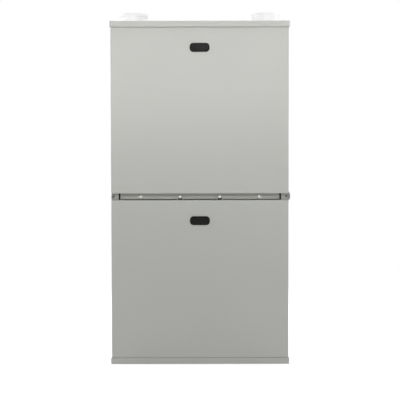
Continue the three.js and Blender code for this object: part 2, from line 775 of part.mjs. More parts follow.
function vestibulePanel() {
  const half = wallInside - seat;
  const bottom = deckTop + seat;
  const top = capUnder - seat;
  const edge = vestibuleY - vestibuleFlange;
  const plate = box(-half, half, vestibuleY, vestibuleBack, bottom, top);
  const flanges = [-1, 1].map((side) => sideBox(side, half - sheet, half, edge, vestibuleBack, bottom, top));
  const mouths = tubeCentres.map((x) =>
    rod('y', tubeHole, vestibuleY - past, vestibuleBack + past, [x, fireLine]));
  const flueWindow = box(
    -coilCoreHalf, collectorRight - collectorWall - past, vestibuleY - past, vestibuleBack + past,
    coilMiddle - flueWindowHalf, coilMiddle + flueWindowHalf,
  );
  return cut(join(plate, ...flanges), ...mouths, flueWindow);
}

// ---------------------------------------------------------------- doors
// A door is a tray with its skin in front; `bottom` and `top` are its edges.
function doorTray(bottom, top) {
  return cut(
    box(-halfWidth, halfWidth, front, flangeFace - seat, bottom, top),
    box(-wallInside, wallInside, front + sheet, flangeFace + past, bottom + sheet, top - sheet),
  );
}

function glassHole(z) {
  const outline = rounded(glassWidth - 2 * glassRim, glassHeight - 2 * glassRim, glassCorner - glassRim, z);
  return prism('y', outline, front - past, front + sheet + past);
}

function notch(x) {
  const bottom = upperDoor.bottom - lipDrop - past;
  const top = upperDoor.bottom - notchCrown;
  return prism('y', [
    [bottom, x - notchBottomHalf], [bottom, x + notchBottomHalf],
    [top, x + notchTopHalf], [top, x - notchTopHalf],
  ], lipY - past, lipY + sheet + past);
}

function upperDoorPanel() {
  const bottom = upperDoor.bottom;
  const shelf = box(-lipHalf, lipHalf, front + sheet / 2, lipY + sheet, bottom, bottom + sheet);
  const lip = box(-lipHalf, lipHalf, lipY, lipY + sheet, bottom - lipDrop, bottom + sheet);
  const tongueZ = upperDoor.top - tongueDrop;
  const tongueEnd = flangeBack + seat + railSheet + tongueBeyond;
  const tongues = [-tongueReach, tongueReach].map((x) =>
    box(x - tongueWidth / 2, x + tongueWidth / 2, front + sheet / 2, tongueEnd, tongueZ, tongueZ + sheet));
  return cut(
    join(doorTray(upperDoor.bottom, upperDoor.top), shelf, lip, ...tongues),
    screwHole(-upperScrewReach, lipY, lipY + sheet), screwHole(upperScrewReach, lipY, lipY + sheet),
    notch(-notchReach), notch(notchReach), glassHole(upperGlassZ),
  );
}

function lowerDoorPanel() {
  const shelf = box(-lipHalf, lipHalf, front + sheet / 2, lipY + sheet, lowerDoor.top - sheet, lowerDoor.top);
  return cut(join(doorTray(lowerDoor.bottom, lowerDoor.top), shelf), glassHole(lowerGlassZ));
}

// Clip on the lower door's top shelf that takes the door's screw in a notch of the upper door.
function lowerDoorClip(x) {
  const bottom = lowerDoor.top + seat;
  const foot = box(x - clipHalf, x + clipHalf, lipY - clipFoot, lipY + sheet, bottom, bottom + sheet);
  const plate = box(x - clipHalf, x + clipHalf, lipY, lipY + sheet, bottom, bottom + clipHeight);
  return cut(join(foot, plate), screwHole(x, lipY, lipY + sheet));
}

// A captive hex washer-head screw, driven backwards through the channel face into the rail.
function doorScrew(x) {
  const headBack = lipY - seat;
  const centre = [x, splitHeight];
  return join(
    rod('y', screwHeadRadius * 0.8, headBack - screwHeadHeight, headBack - 0.5, centre, 6),
    rod('y', screwHeadRadius, headBack - screwHeadHeight / 3, headBack, centre, 12),
    rod('y', screwShankRadius, headBack - 0.5, headBack + screwLength, centre, 12),
  );
}

// A smoked moulding snapped into the door: rim, skirt and pane.
function sightGlass(z) {
  const face = front - seat - glassProud;
  const layer = (inset, y0, y1) =>
    prism('y', rounded(glassWidth - 2 * inset, glassHeight - 2 * inset, glassCorner - inset, z), y0, y1);
  const skirtInset = glassRim + seat;
  const rim = layer(0, face, front - seat);
  const skirt = layer(skirtInset, front - seat - glassProud / 2, front + sheet + glassSkirt);
  const hollow = layer(skirtInset + glassWall, face + glassPane, front + sheet + glassSkirt + past);
  const dish = layer(skirtInset + glassWall, face - past, face + glassDish);
  return cut(join(rim, skirt), hollow, dish);
}

// ---------------------------------------------------------------- pipes and plugs through the casing
function couplingOutside(x, radius) {
  const seatZ = cabinetHeight + seat;
  return join(
    rod('z', couplingFlangeRadius, seatZ, seatZ + couplingFlange, [x, pipeY], 24),
    rod('z', radius, capUnder - couplingDrop, cabinetHeight + couplingRise, [x, pipeY], 24),
  );
}

// The socket above the cap takes the outdoor vent pipe; the pipe below it is cemented in and
// runs down into the inducer's spout.
function ventCoupling() {
  const centre = [-pipeReach, pipeY];
  const top = cabinetHeight + couplingRise;
  const pipeEnd = spoutTop - spoutSocket + seat;
  const rim = rod('z', couplingRimRadius, top - couplingRimHeight, top, centre, 24);
  const pipe = rod('z', pipeRadius, pipeEnd, capUnder, centre, 24);
  return cut(
    join(couplingOutside(-pipeReach, couplingRadius), rim, pipe),
    rod('z', pipeRadius + seat, capUnder, top + past, centre, 20),
    rod('z', pipeRadius - pipeWall, pipeEnd - past, top + past, centre, 20),
  );
}

// Open right through, for the pipe that brings combustion air into the burner compartment.
function intakeCoupling() {
  const under = capUnder - couplingDrop - past;
  const over = cabinetHeight + couplingRise + past;
  const bore = rod('z', pipeRadius + seat, under, over, [pipeReach, pipeY], 20);
  return cut(couplingOutside(pipeReach, intakeRadius), bore);
}

// A domed plug snapped into a side panel's hole.
function holePlug(side, y, z) {
  const face = halfWidth + seat;
  const skirt = plugHoleRadius - seat;
  const skirtEnd = wallInside - plugSkirt;
  const profile = [
    [0, face + plugProud], [plugRadius * 0.5, face + plugProud * 0.9],
    [plugRadius * 0.85, face + plugProud * 0.55], [plugRadius, face + plugProud * 0.2],
    [plugRadius, face], [skirt, face], [skirt, skirtEnd],
    [skirt - plugWall, skirtEnd], [skirt - plugWall, face + past], [0, face + past],
  ];
  return turned('x', profile.map(([r, x]) => [r, side * x]), [y, z], 16);
}

// ---------------------------------------------------------------- heat exchanger
const tubeCentres = Array.from({ length: tubeCount }, (_, i) => ((2 * i) / (tubeCount - 1) - 1) * tubeReach);
const tubeHole = holeRadius(tubeRadius, seat);

// Three passes in one upright plane: back, forward and back again into the header.
function serpentine(x) {
  const bend = passPitch / 2;
  const backBend = headerFront - tubeRadius - 2 * bend;
  const frontBend = vestibuleBack + tubeBendMargin;
  const steps = 4;
  const points = [[x, vestibuleY, fireLine]];
  for (let i = 0; i <= steps; i += 1) {
    const turn = (Math.PI * i) / steps;
    points.push([x, backBend + bend * Math.sin(turn), fireLine - bend + bend * Math.cos(turn)]);
  }
  for (let i = 0; i <= steps; i += 1) {
    const turn = (Math.PI * i) / steps;
    points.push([x, frontBend - bend * Math.sin(turn), fireLine - 3 * bend + bend * Math.cos(turn)]);
  }
  points.push([x, headerFront + tubeGrip, lastPass]);
  return tube(points, tubeRadius, 10, tubeRadius - tubeWall);
}

function hotHeader() {
  const x = hotHeaderHalf;
  const bottom = coilBottom - headerBelowCoil;
  const top = lastPass + tubeRadius + headerRoof;
  const shell = cut(
    box(-x, x, headerFront, headerBack, bottom, top),
    box(
      -x + railSheet, x - railSheet, headerFront + railSheet, headerBack - railSheet,
      bottom + railSheet, top - railSheet,
    ),
  );
  const mouths = tubeCentres.map((tubeX) =>
    rod('y', tubeHole, headerFront - past, headerFront + railSheet + past, [tubeX, lastPass]));
  const coilWindow = box(
    -coilCoreHalf - seat, coilCoreHalf + seat, headerFront - past, headerFront + railSheet + past,
    coilMiddle - coilCore / 2 - seat, coilMiddle + coilCore / 2 + seat,
  );
  return cut(shell, ...mouths, coilWindow);
}

// Fin pack on a flat bundle of tubes, drawn as one slab between the two headers.
function secondaryCoil() {
  const start = vestibuleBack + seat;
  const end = headerFront - seat;
  const core = box(
    -coilCoreHalf, coilCoreHalf, start, end + coilGrip, coilMiddle - coilCore / 2, coilMiddle + coilCore / 2,
  );
  const pitch = (end - start - 2 * finLead - finSheet) / (finCount - 1);
  const fins = Array.from({ length: finCount }, (_, i) => {
    const y = start + finLead + i * pitch;
    return box(-coilHalf, coilHalf, y, y + finSheet, coilBottom, coilTop);
  });
  return join(core, ...fins);
}

// ---------------------------------------------------------------- condensate and flue collection
const inducerCentre = [fanAxisX, inducerHeight];

function collectorBox() {
  const bottom = coilBottom - collectorMargin;
  const top = collectorTop;
  const back = vestibuleY - seat;
  const wall = collectorWall;
  const shell = cut(
    box(-collectorLeft, collectorRight, collectorFront, back, bottom, top),
    box(
      -collectorLeft + wall, collectorRight - wall, collectorFront + wall, back + past,
      bottom + wall, top - wall,
    ),
  );
  const portY = (collectorFront + back) / 2;
  const port = rod('z', hosePortRadius, top - weld, top + hosePortLength, [pressureReach, portY], 8);
  const ribs = Array.from({ length: ribCount }, (_, i) => {
    const x = trapShift + (i - (ribCount - 1) / 2) * ribPitch;
    const root = collectorFront + weld;
    return box(x - ribSheet / 2, x + ribSheet / 2, collectorFront - ribDepth, root, bottom, top);
  });
  const throat = rod('y', inletThroat, collectorFront - past, collectorFront + wall + past, inducerCentre);
  return cut(join(shell, port, ...ribs), throat);
}

const trapBack = collectorFront - ribDepth - seat;
const trapY = trapBack - trapDepth / 2;
const trapLeft = trapShift - trapWidth / 2;
const trapBottom = deckTop + seat;
const spigotZ = trapBottom + spigotRise;

function condensateTrap() {
  const top = trapBottom + trapHeight;
  const body = box(trapLeft, trapLeft + trapWidth, trapBack - trapDepth, trapBack, trapBottom, top);
  const cell = (from, to) => box(
    from, to, trapBack - trapDepth + collectorWall, trapBack - collectorWall,
    trapBottom + collectorWall, top + past,
  );
  const left = cell(trapLeft + collectorWall, trapShift - collectorWall / 2);
  const right = cell(trapShift + collectorWall / 2, trapLeft + trapWidth - collectorWall);
  const spigotRadius = (drainRadius - drainWall) * Math.cos(Math.PI / drainSides) - seat;
  const spigotTip = trapLeft - spigotLength;
  const spigot = rod('x', spigotRadius, spigotTip, trapLeft + weld, [trapY, spigotZ], drainSides);
  return join(cut(body, left, right), spigot);
}

// From the trap's spigot along the vestibule floor to the drain hole in the left side panel.
function drainHose() {
  const start = trapLeft - seat;
  const lying = deckTop + seat + drainRadius + hoseLift;
  const down = start - hoseDrop;
  const across = (share) => down - share * (halfWidth + down);
  const route = smooth([
    [start - spigotLength - hoseStraight, trapY, spigotZ], [down, trapY - 10, lying],
    [across(0.15), trapY - 36, lying], [across(0.39), drainY + 36, lying],
    [across(0.62), drainY + 12, lying + 2], [across(0.83), drainY, plugHeight - past],
    [-halfWidth + 12, drainY, plugHeight], [-halfWidth - past, drainY, plugHeight],
  ], 18);
  return tube([[start, trapY, spigotZ], ...route], drainRadius, drainSides, drainRadius - drainWall);
}

// ---------------------------------------------------------------- draft inducer
const spoutTop = inducerHeight + spoutHeight;

function inducerHousing() {
  const spoutRadius = pipeRadius + seat + spoutWall;
  const neckBottom = spoutTop - spoutNeck;
  const bore = pipeRadius - pipeWall;
  const pipeSocket = holeRadius(pipeRadius, seat, 20);
  // The spout stands out in front of the volute only along its round neck.
  const inFront = (depth, top) =>
    box(-2 * pipeReach, 0, inducerFront - 2 * pipeRadius, inducerFront + depth, 0, top);
  const spout = cut(
    rod('z', spoutRadius, inducerHeight, spoutTop, [-pipeReach, pipeY], 20),
    inFront(0, neckBottom),
  );
  const passage = cut(
    rod('z', bore, inducerHeight, spoutTop + past, [-pipeReach, pipeY], 20),
    inFront(inducerWall, neckBottom + inducerWall),
  );
  const posts = inducerPostTurns.map((turn) => rod(
    'y', inducerPostRadius, inducerFront - inducerPostLength, inducerFront + weld, postPlace(turn), 8,
  ));
  const chamber = rod(
    'y', inducerRadius - inducerWall, inducerFront + inducerWall, inducerBack - inducerWall,
    inducerCentre, 24,
  );
  const shaftHole = inducerShaftRadius + shaftPlay;
  return cut(
    join(rod('y', inducerRadius, inducerFront, inducerBack, inducerCentre, 24), spout, ...posts),
    chamber,
    passage,
    rod('z', pipeSocket, spoutTop - spoutSocket, spoutTop + past, [-pipeReach, pipeY], 20),
    rod('y', inletThroat, inducerBack - inducerWall - past, inducerBack + past, inducerCentre),
    rod('y', shaftHole, inducerFront - past, inducerFront + inducerWall + past, inducerCentre, 12),
  );
}

const inducerPostTurns = [0, 1, 2].map((i) => Math.PI / 2 + (2 * Math.PI * i) / 3);
const postPlace = (turn) =>
  [fanAxisX + inducerPostReach * Math.cos(turn), inducerHeight + inducerPostReach * Math.sin(turn)];
const inducerPlateY = inducerFront - inducerPostLength - seat; // back of the motor's plate

function inducerMotor() {
  const back = inducerPlateY - motorPlate;
  const nose = back - inducerMotorLength;
  const { radius, chamfer, dish, shoulder } = inducerNose;
  const bell = turned('y', [
    [0, back + motorPlate / 2], [inducerMotorRadius, back + motorPlate / 2],
    [inducerMotorRadius, nose + shoulder], [inducerMotorRadius - chamfer, nose + dish],
    [radius, nose], [0, nose],
  ], inducerCentre);
  const plate = rod('y', inducerPostReach + inducerPostRadius, back, inducerPlateY, inducerCentre, 20);
  const vents = around(inducerVents.count, (turn) => rod(
    'y', inducerVents.radius, nose - past, nose + inducerVents.depth,
    [fanAxisX + inducerVents.reach * Math.cos(turn), inducerHeight + inducerVents.reach * Math.sin(turn)], 6,
  ));
  const bore = rod(
    'y', holeRadius(inducerShaftRadius, shaftPlay, 12), back - inducerShaftInMotor - 2 * shaftPlay,
    inducerPlateY + past, inducerCentre, 12,
  );
  return cut(join(bell, plate), bore, ...vents);
}

const inducerWheelFront = inducerFront + inducerWall + inducerWheelGap;

// The motor's shaft with its small cooling fan, between the motor and the housing.
function inducerShaft() {
  const fanBack = inducerFront - (inducerPostLength - coolingFanWidth) / 2;
  const fanFront = fanBack - coolingFanWidth;
  const shaft = rod(
    'y', inducerShaftRadius, inducerPlateY - motorPlate - inducerShaftInMotor,
    inducerWheelFront + inducerWheelWidth - inducerSheet, inducerCentre, 12,
  );
  const hub = rod('y', coolingHub, fanFront, fanBack, inducerCentre, 12);
  const blade = box(
    fanAxisX + coolingHub - weld, fanAxisX + coolingFanRadius, fanFront + weld, fanBack - weld,
    inducerHeight - inducerSheet / 2, inducerHeight + inducerSheet / 2,
  );
  return join(shaft, hub, ...around(coolingBlades, (turn) => swing(blade, 'y', inducerCentre, turn)));
}

function inducerWheel() {
  const y0 = inducerWheelFront;
  const y1 = y0 + inducerWheelWidth;
  const plate = rod('y', inducerWheelRadius, y0, y0 + inducerSheet, inducerCentre, 20);
  const hub = rod('y', inducerHub, y0, y1 - 2 * inducerSheet, inducerCentre, 12);
  const blade = box(
    fanAxisX + inducerHub - weld, fanAxisX + inducerWheelRadius - weld, y0 + weld, y1,
    inducerHeight - inducerSheet / 2, inducerHeight + inducerSheet / 2,
  );
  return cut(
    join(plate, hub, ...around(inducerBlades, (turn) => swing(blade, 'y', inducerCentre, turn))),
    rod('y', holeRadius(inducerShaftRadius, seat, 12), y0 - past, y1 + past, inducerCentre, 12),
  );
}

// ---------------------------------------------------------------- burners and gas train
// One piece in-shot burners: a venturi for each tube, on a shared foot rail, joined by the
// carryover that takes the flame from one to the next.
function inshotBurners() {
  const throatY = burnerMouthY + burnerThroatStart;
  const throatEnd = throatY + burnerThroatLength;
  const coneEnd = burnerHeadY - burnerHeadLength;
  const wall = burnerWall;
  const profile = [
    [burnerMouthRadius, burnerMouthY], [burnerThroatRadius, throatY], [burnerThroatRadius, throatEnd],
    [burnerHeadRadius, coneEnd], [burnerHeadRadius, burnerHeadY], [burnerHeadRadius - wall, burnerHeadY],
    [burnerHeadRadius - wall, coneEnd + wall], [burnerThroatRadius - wall, throatEnd + wall],
    [burnerThroatRadius - wall, throatY - wall], [burnerMouthRadius - wall, burnerMouthY],
  ];
  const venturis = tubeCentres.map((x) => turned('y', profile, [x, fireLine], 14));
  const bores = tubeCentres.map((x) =>
    rod('y', burnerHeadRadius - wall, coneEnd + wall, burnerHeadY + past, [x, fireLine], 14));
  const end = tubeCentres[tubeCount - 1];
  const strip = box(
    -end, end, burnerHeadY - carryover.width, burnerHeadY,
    fireLine - carryover.height / 2, fireLine + carryover.height / 2,
  );
  const halfLeg = burnerLeg.width / 2;
  const legs = tubeCentres.map((x) => box(
    x - halfLeg, x + halfLeg, burnerHeadY - burnerLeg.front, burnerHeadY - burnerLeg.back,
    trayFloor + seat, fireLine - burnerHeadRadius + wall,
  ));
  return join(cut(strip, ...bores), ...venturis, ...legs);
}

function burnerTray() {
  const y0 = manifoldY - manifoldRadius - trayLead;
  const y1 = vestibuleY - seat;
  const top = fireLine + trayWallTop;
  const inner = trayHalf - railSheet;
  const under = trayFloor - railSheet;
  const trough = prism('y', [
    [top, -trayHalf], [top, -inner], [trayFloor, -inner], [trayFloor, inner], [top, inner], [top, trayHalf],
    [under, trayHalf], [under, -trayHalf],
  ], y0, y1);
  const airHalf = trayHalf - trayRim.side;
  const airOpening = box(
    -airHalf, airHalf, y0 - past, burnerMouthY - trayRim.rear, under - past, trayFloor + past,
  );
  const ears = [-1, 1].map((side) => sideBox(
    side, trayHalf - railSheet / 2, trayHalf + trayEar, y1 - railSheet, y1, trayFloor + weld, top - weld,
  ));
  const bore = rod(
    'x', holeRadius(manifoldRadius, seat), -trayHalf - past, trayHalf + past, [manifoldY, fireLine],
  );
  return cut(join(trough, ...ears), airOpening, bore);
}

// Pipe through the tray's walls, an orifice for each burner, and an elbow down to the valve.
function gasManifold() {
  const steps = 4;
  const points = [[-trayHalf - manifoldOverhang, manifoldY, fireLine]];
  for (let i = 0; i <= steps; i += 1) {
    const turn = ((Math.PI / 2) * i) / steps;
    const x = valveReach - manifoldElbow * (1 - Math.sin(turn));
    points.push([x, manifoldY, fireLine - manifoldElbow * (1 - Math.cos(turn))]);
  }
  points.push([valveReach, manifoldY, valveTop + seat]);
  const orificeRoot = manifoldY + manifoldRadius - manifoldWall;
  const orifices = tubeCentres.map((x) =>
    rod('y', orificeRadius, orificeRoot, burnerMouthY - orificeGap, [x, fireLine], 8));
  const mouth = rod(
    'z', manifoldRadius - manifoldWall, valveTop, valveTop + outletDepth, [valveReach, manifoldY], 10,
  );
  return cut(join(tube(points, manifoldRadius, 12), ...orifices), mouth);
}

const knobX = valveReach - knobShift;
const knobZ = valveTop - knobDrop;
const knobBack = valveFront + valveStep - seat;

function gasValve() {
  const x0 = valveReach - valveWidth / 2;
  const x1 = valveReach + valveWidth / 2;
  const y0 = valveFront + valveStep;
  const y1 = valveFront + valveDepth;
  const bottom = valveTop - valveHeight;
  const inletZ = bottom + valveHeight * valveInletPlace;
  const shoulder = valveTop - valveShoulder;
  const regulatorCentre = [valveReach - regulator.shift, inletZ + regulator.rise];
  const body = join(
    box(x0 + valveCheek, x1 - valveCheek, y0, y1, bottom, shoulder),
    rod('z', manifoldRadius + outletBoss, shoulder - weld, valveTop, [valveReach, manifoldY], 12),
    rod('x', manifoldRadius + inletBoss, valveReach, x1, [manifoldY, inletZ], 12),
    rod('y', regulator.radius, y0, y1 + regulator.proud, regulatorCentre, 14),
    box(
      x0, x0 + solenoidPlate.sheet, y0 + solenoidPlate.front, y1 - solenoidPlate.back,
      bottom + solenoidPlate.bottom, valveTop - solenoidPlate.top,
    ),
  );
  const outlet = rod(
    'z', manifoldRadius - manifoldWall, valveTop - outletDepth, valveTop + past, [valveReach, manifoldY], 12,
  );
  const stemHole = rod(
    'y', holeRadius(knobStem, seat, 12), y0 - past, knobBack + knobStemLength + 2, [knobX, knobZ], 12,
  );
  return cut(body, outlet, stemHole);
}

function gasValveKnob() {
  const centre = [knobX, knobZ];
  const gripHalf = knobRadius - weld;
  const disc = knobBack - knobDisc;
  return join(
    rod('y', knobRadius, disc, knobBack, centre, 16),
    rod('y', knobStem, knobBack - weld, knobBack + knobStemLength, centre, 12),
    box(
      knobX - gripHalf, knobX + gripHalf, knobBack - knobHeight, disc + weld,
      knobZ - knobGrip / 2, knobZ + knobGrip / 2,
    ),
  );
}

function hotSurfaceIgniter() {
  const x0 = -trayHalf + railSheet + seat;
  const x1 = x0 + igniterBlock.width;
  const x2 = x1 + igniterHolder.length;
  const x3 = x2 + igniterElement.length;
  const back = vestibuleY - electrodeStandoff;
  const z = fireLine - igniterDrop;
  const bar = (left, right, depth, bottom, top) => box(
    left, right, back - electrodeLead - depth / 2, back - electrodeLead + depth / 2, z + bottom, z + top,
  );
  const half = igniterHolder.height / 2;
  const { wire } = igniterElement;
  return join(
    box(x0, x1, back - igniterBlock.depth, back, z - igniterBlock.height / 2, z + igniterBlock.height / 2),
    bar(x1 - weld, x2, igniterHolder.depth, -half, half),
    bar(x2 - weld, x3, wire, half - wire, half),
    bar(x2 - weld, x3, wire, -half, wire - half),
    bar(x3 - wire, x3, wire, -half, half),
  );
}

function flameSensor() {
  const x1 = trayHalf - railSheet - seat;
  const x0 = x1 - sensorBlock.width;
  const back = vestibuleY - electrodeStandoff;
  const z = fireLine + sensorRise;
  return join(
    box(x0, x1, back - sensorBlock.depth, back, z - sensorBlock.height / 2, z + sensorBlock.height / 2),
    rod('x', sensorRod.radius, x0 - sensorRod.length, x0 + weld, [back - electrodeLead, z], 8),
  );
}

// ---------------------------------------------------------------- controls on the vestibule panel
const controlsBack = vestibuleY - seat;
const rolloutCentre = [rolloutReach, fireLine + rolloutRise];

// A flat spade terminal whose lower face is at `z`.
const spade = (x, y0, y1, z) => box(x - spadeWidth / 2, x + spadeWidth / 2, y0, y1, z, z + spadeSheet);

function rolloutSwitch() {
  const [x, z] = rolloutCentre;
  const face = controlsBack - rolloutDepth;
  const halfPlate = { x: rolloutPlate.width / 2, z: rolloutPlate.height / 2 };
  const spadeFront = face - rolloutSpade.proud;
  const spades = [-1, 1].map((side) => spade(
    x + side * rolloutSpade.reach, spadeFront, spadeFront + rolloutSpade.length, z - rolloutSpade.drop,
  ));
  const body = join(
    box(
      x - halfPlate.x, x + halfPlate.x, controlsBack - rolloutPlate.sheet, controlsBack,
      z - halfPlate.z, z + halfPlate.z,
    ),
    rod('y', rolloutRadius, face, controlsBack, rolloutCentre, 14),
    ...spades,
  );
  const well = rod(
    'y', holeRadius(resetRadius, seat, 12), face - past, controlsBack - rolloutFloor, rolloutCentre, 12,
  );
  return cut(body, well);
}

function rolloutResetButton() {
  const face = controlsBack - rolloutDepth;
  const end = controlsBack - rolloutFloor - resetTravel - seat;
  return rod('y', resetRadius, face - resetProud, end, rolloutCentre, 12);
}

function limitSwitch() {
  const x = -limitReach;
  const z = fireLine - limitDrop;
  const face = controlsBack - limitDisc.depth;
  const halfPlate = { x: limitPlate.width / 2, z: limitPlate.height / 2 };
  const spadeFront = face - limitSpade.proud;
  const spades = [-1, 1].map((side) => spade(
    x + side * limitSpade.reach, spadeFront, spadeFront + limitSpade.length, z + limitSpade.rise,
  ));
  return join(
    box(
      x - halfPlate.x, x + halfPlate.x, controlsBack - limitPlate.sheet, controlsBack,
      z - halfPlate.z, z + halfPlate.z,
    ),
    rod('y', limitDisc.radius, face, controlsBack, [x, z], 14),
    ...spades,
  );
}

function pressureSwitch() {
  const face = controlsBack - pressureDepth;
  const seam = controlsBack - pressureDepth / 2;
  const drum = pressureRadius - pressureEdge;
  const port = pressureHeight - pressureRadius - hosePortLength;
  const halfPlate = pressurePlate.width / 2;
  const backFace = controlsBack - pressurePlate.sheet / 2;
  return join(
    box(
      pressureReach - halfPlate, pressureReach + halfPlate, controlsBack - pressurePlate.sheet, controlsBack,
      pressureHeight, pressureHeight + pressureRadius + pressureTab,
    ),
    turned('y', [
      [0, backFace], [drum - pressureTaper.back, backFace], [drum, seam + pressureSeam],
      [pressureRadius, seam + pressureSeam], [pressureRadius, seam - pressureSeam],
      [drum, seam - pressureSeam], [drum - pressureTaper.front, face], [0, face],
    ], [pressureReach, pressureHeight]),
    rod('z', hosePortRadius, port, pressureHeight, [pressureReach, seam], 8),
  );
}

// ---------------------------------------------------------------- blower
const blowerCentre = [wheelY, blowerHeight];

// Outline of the scroll in [y, z], grown outwards by `grow`; it opens upwards at `top`.
function scrollOutline(grow, top) {
  const start = wheelRadius + scrollCutoff;
  const frontWall = wheelY + outletLead - grow;
  const points = [[frontWall, top], [frontWall, blowerHeight + start + grow]];
  const steps = 15;
  for (let i = 0; i <= steps; i += 1) {
    const turn = Math.PI / 2 + (1.5 * Math.PI * i) / steps;
    const radius = start + (scrollGrowth * i) / steps + grow;
    points.push([wheelY + radius * Math.cos(turn), blowerHeight + radius * Math.sin(turn)]);
  }
  points.push([scrollBack + grow, top]);
  return points;
}

function blowerScroll() {
  const half = plateInside - seat;
  return cut(
    prism('x', scrollOutline(railSheet, plateTop), -half, half),
    prism('x', scrollOutline(0, plateTop + past), -half - past, half + past),
  );
}

function blowerSide(side) {
  const across = (outer) => [side * plateInside, side * outer].sort((a, b) => a - b);
  const plate = prism('x', scrollOutline(railSheet + sideRim, plateTop), ...across(plateOutside));
  const collar = rod('x', inletRadius + inletRim, ...across(plateOutside + inletRim), blowerCentre, 24);
  const hanger = sideBox(
    side, plateInside, plateOutside + hangerWidth, hangerFront, hangerBack, plateTop - railSheet, plateTop,
  );
  const inlet = rod('x', inletRadius, -2 * plateOutside, 2 * plateOutside, blowerCentre, 24);
  return cut(join(plate, collar, hanger), inlet);
}

function blowerWheel() {
  const half = wheelWidth / 2;
  const inner = wheelRadius - bladeDepth;
  const outer = wheelRadius - 0.8;
  const rims = [[-half, -half + wheelRim], [half - wheelRim, half]].map(([from, to]) =>
    ring('x', wheelRadius, wheelRadius - bladeDepth / 2, from, to, blowerCentre, wheelBlades));
  const disc = rod('x', wheelRadius - 2, -bladeSheet / 2, bladeSheet / 2, blowerCentre, wheelBlades);
  const hub = rod('x', hubRadius, -hubLength / 2, hubLength / 2, blowerCentre);
  const blades = around(wheelBlades, (turn) => {
    const corner = (radius, angle, side) => [
      wheelY + radius * Math.cos(angle) - ((side * bladeSheet) / 2) * Math.sin(angle),
      blowerHeight + radius * Math.sin(angle) + ((side * bladeSheet) / 2) * Math.cos(angle),
    ];
    const lean = turn + bladeLean;
    return prism('x', [
      corner(inner, turn, -1), corner(outer, lean, -1), corner(outer, lean, 1), corner(inner, turn, 1),
    ], -half + past, half - past);
  });
  return cut(
    join(disc, hub, ...rims, ...blades),
    rod('x', holeRadius(shaftRadius, seat), -half, half, blowerCentre),
  );
}

const motorInner = -motorHubGap;
const motorOuter = motorInner - motorLength;

function blowerMotor() {
  const { back, front: nose, chamfer, dish, shoulder } = motorEnd;
  const body = turned('x', [
    [0, motorOuter], [back, motorOuter], [motorRadius - chamfer, motorOuter + dish],
    [motorRadius, motorOuter + shoulder], [motorRadius, motorInner - shoulder],
    [motorRadius - chamfer, motorInner - dish], [nose, motorInner], [0, motorInner],
  ], blowerCentre, 24);
  const bore = rod(
    'x', holeRadius(shaftRadius, shaftPlay), motorInner - shaftInMotor - 2 * shaftPlay, motorInner + past,
    blowerCentre,
  );
  const vents = around(motorVents.count, (turn) => rod(
    'x', motorVents.radius, motorOuter - past, motorOuter + motorVents.depth,
    [wheelY + motorVents.reach * Math.cos(turn), blowerHeight + motorVents.reach * Math.sin(turn)], 6,
  ));
  return cut(body, bore, ...vents);
}

const blowerMotorShaft = () =>
  rod('x', shaftRadius, motorInner - shaftInMotor, hubLength / 2 + shaftEnd, blowerCentre);

// Belly band round the motor, with three arms out to the left side plate.
function motorMount() {
  const footX = -plateOutside - seat;
  const armX = footX - motorFootReach;
  const bandIn = holeRadius(motorRadius, seat, 24);
  const band = ring('x', bandIn + motorBandWall, bandIn, armX - motorBandWidth, armX, blowerCentre, 24);
  const tip = wheelY + inletRadius + inletRim + motorFootLength;
  const z0 = blowerHeight - motorArmWidth / 2;
  const z1 = blowerHeight + motorArmWidth / 2;
  const arm = join(
    box(armX - motorArmSheet, armX, wheelY + bandIn + motorBandWall / 2, tip, z0, z1),
    box(armX - motorArmSheet / 2, footX, tip - motorFootSheet, tip, z0, z1),
  );
  const arms = [0, 1, 2].map((i) => swing(arm, 'x', blowerCentre, Math.PI / 2 + (2 * Math.PI * i) / 3));
  return join(band, ...arms);
}

// ---------------------------------------------------------------- electrics
function controlPanel() {
  const x = panelWidth / 2;
  const bottom = panelTopZ - panelHeight;
  return join(
    box(-x, x, panelY, panelY + railSheet, bottom, panelTopZ),
    box(-x, x, panelY, panelY + panelFlange, panelTopZ - railSheet, panelTopZ),
    box(-x, x, panelY, panelY + panelFlange, bottom, bottom + railSheet),
  );
}

const boardFace = panelY - seat - standoff - boardSheet;
const boardRight = boardWidth / 2 - boardShift;
const connectorZ = panelTopZ - boardTopDrop - connector.top - connector.height / 2;

function controlBoard() {
  const x0 = boardRight - boardWidth;
  const x1 = boardRight;
  const z1 = panelTopZ - boardTopDrop;
  const z0 = z1 - boardHeight;
  const board = box(x0, x1, boardFace, boardFace + boardSheet, z0, z1);
  const inset = standoffInset;
  const posts = [x0 + inset, x1 - inset].flatMap((x) => [z0 + inset, z1 - inset].map((z) =>
    rod('y', standoffRadius, boardFace + boardSheet / 2, panelY - seat, [x, z], 6)));
  const raised = ({ width, height, depth }, left, bottom) =>
    box(left, left + width, boardFace - depth, boardFace + boardSheet / 2, bottom, bottom + height);
  const relays = Array.from({ length: relay.count }, (_, i) =>
    raised(relay, x0 + relay.left + i * relay.pitch, z0 + relay.bottom));
  return join(
    board, ...posts, ...relays,
    raised(terminals, x0 + terminals.left, z1 - terminals.top - terminals.height),
    raised(connector, x1 - connector.right - connector.width, z1 - connector.top - connector.height),
    raised(chip, x1 - chip.right - chip.width, z1 - chip.top - chip.height),
    raised(fuse, x0 + fuse.left, z0 + fuse.bottom),
    rod('y', boardLamp.radius, boardFace - boardLamp.depth, boardFace + boardSheet / 2, [0, lowerGlassZ], 8),
  );
}

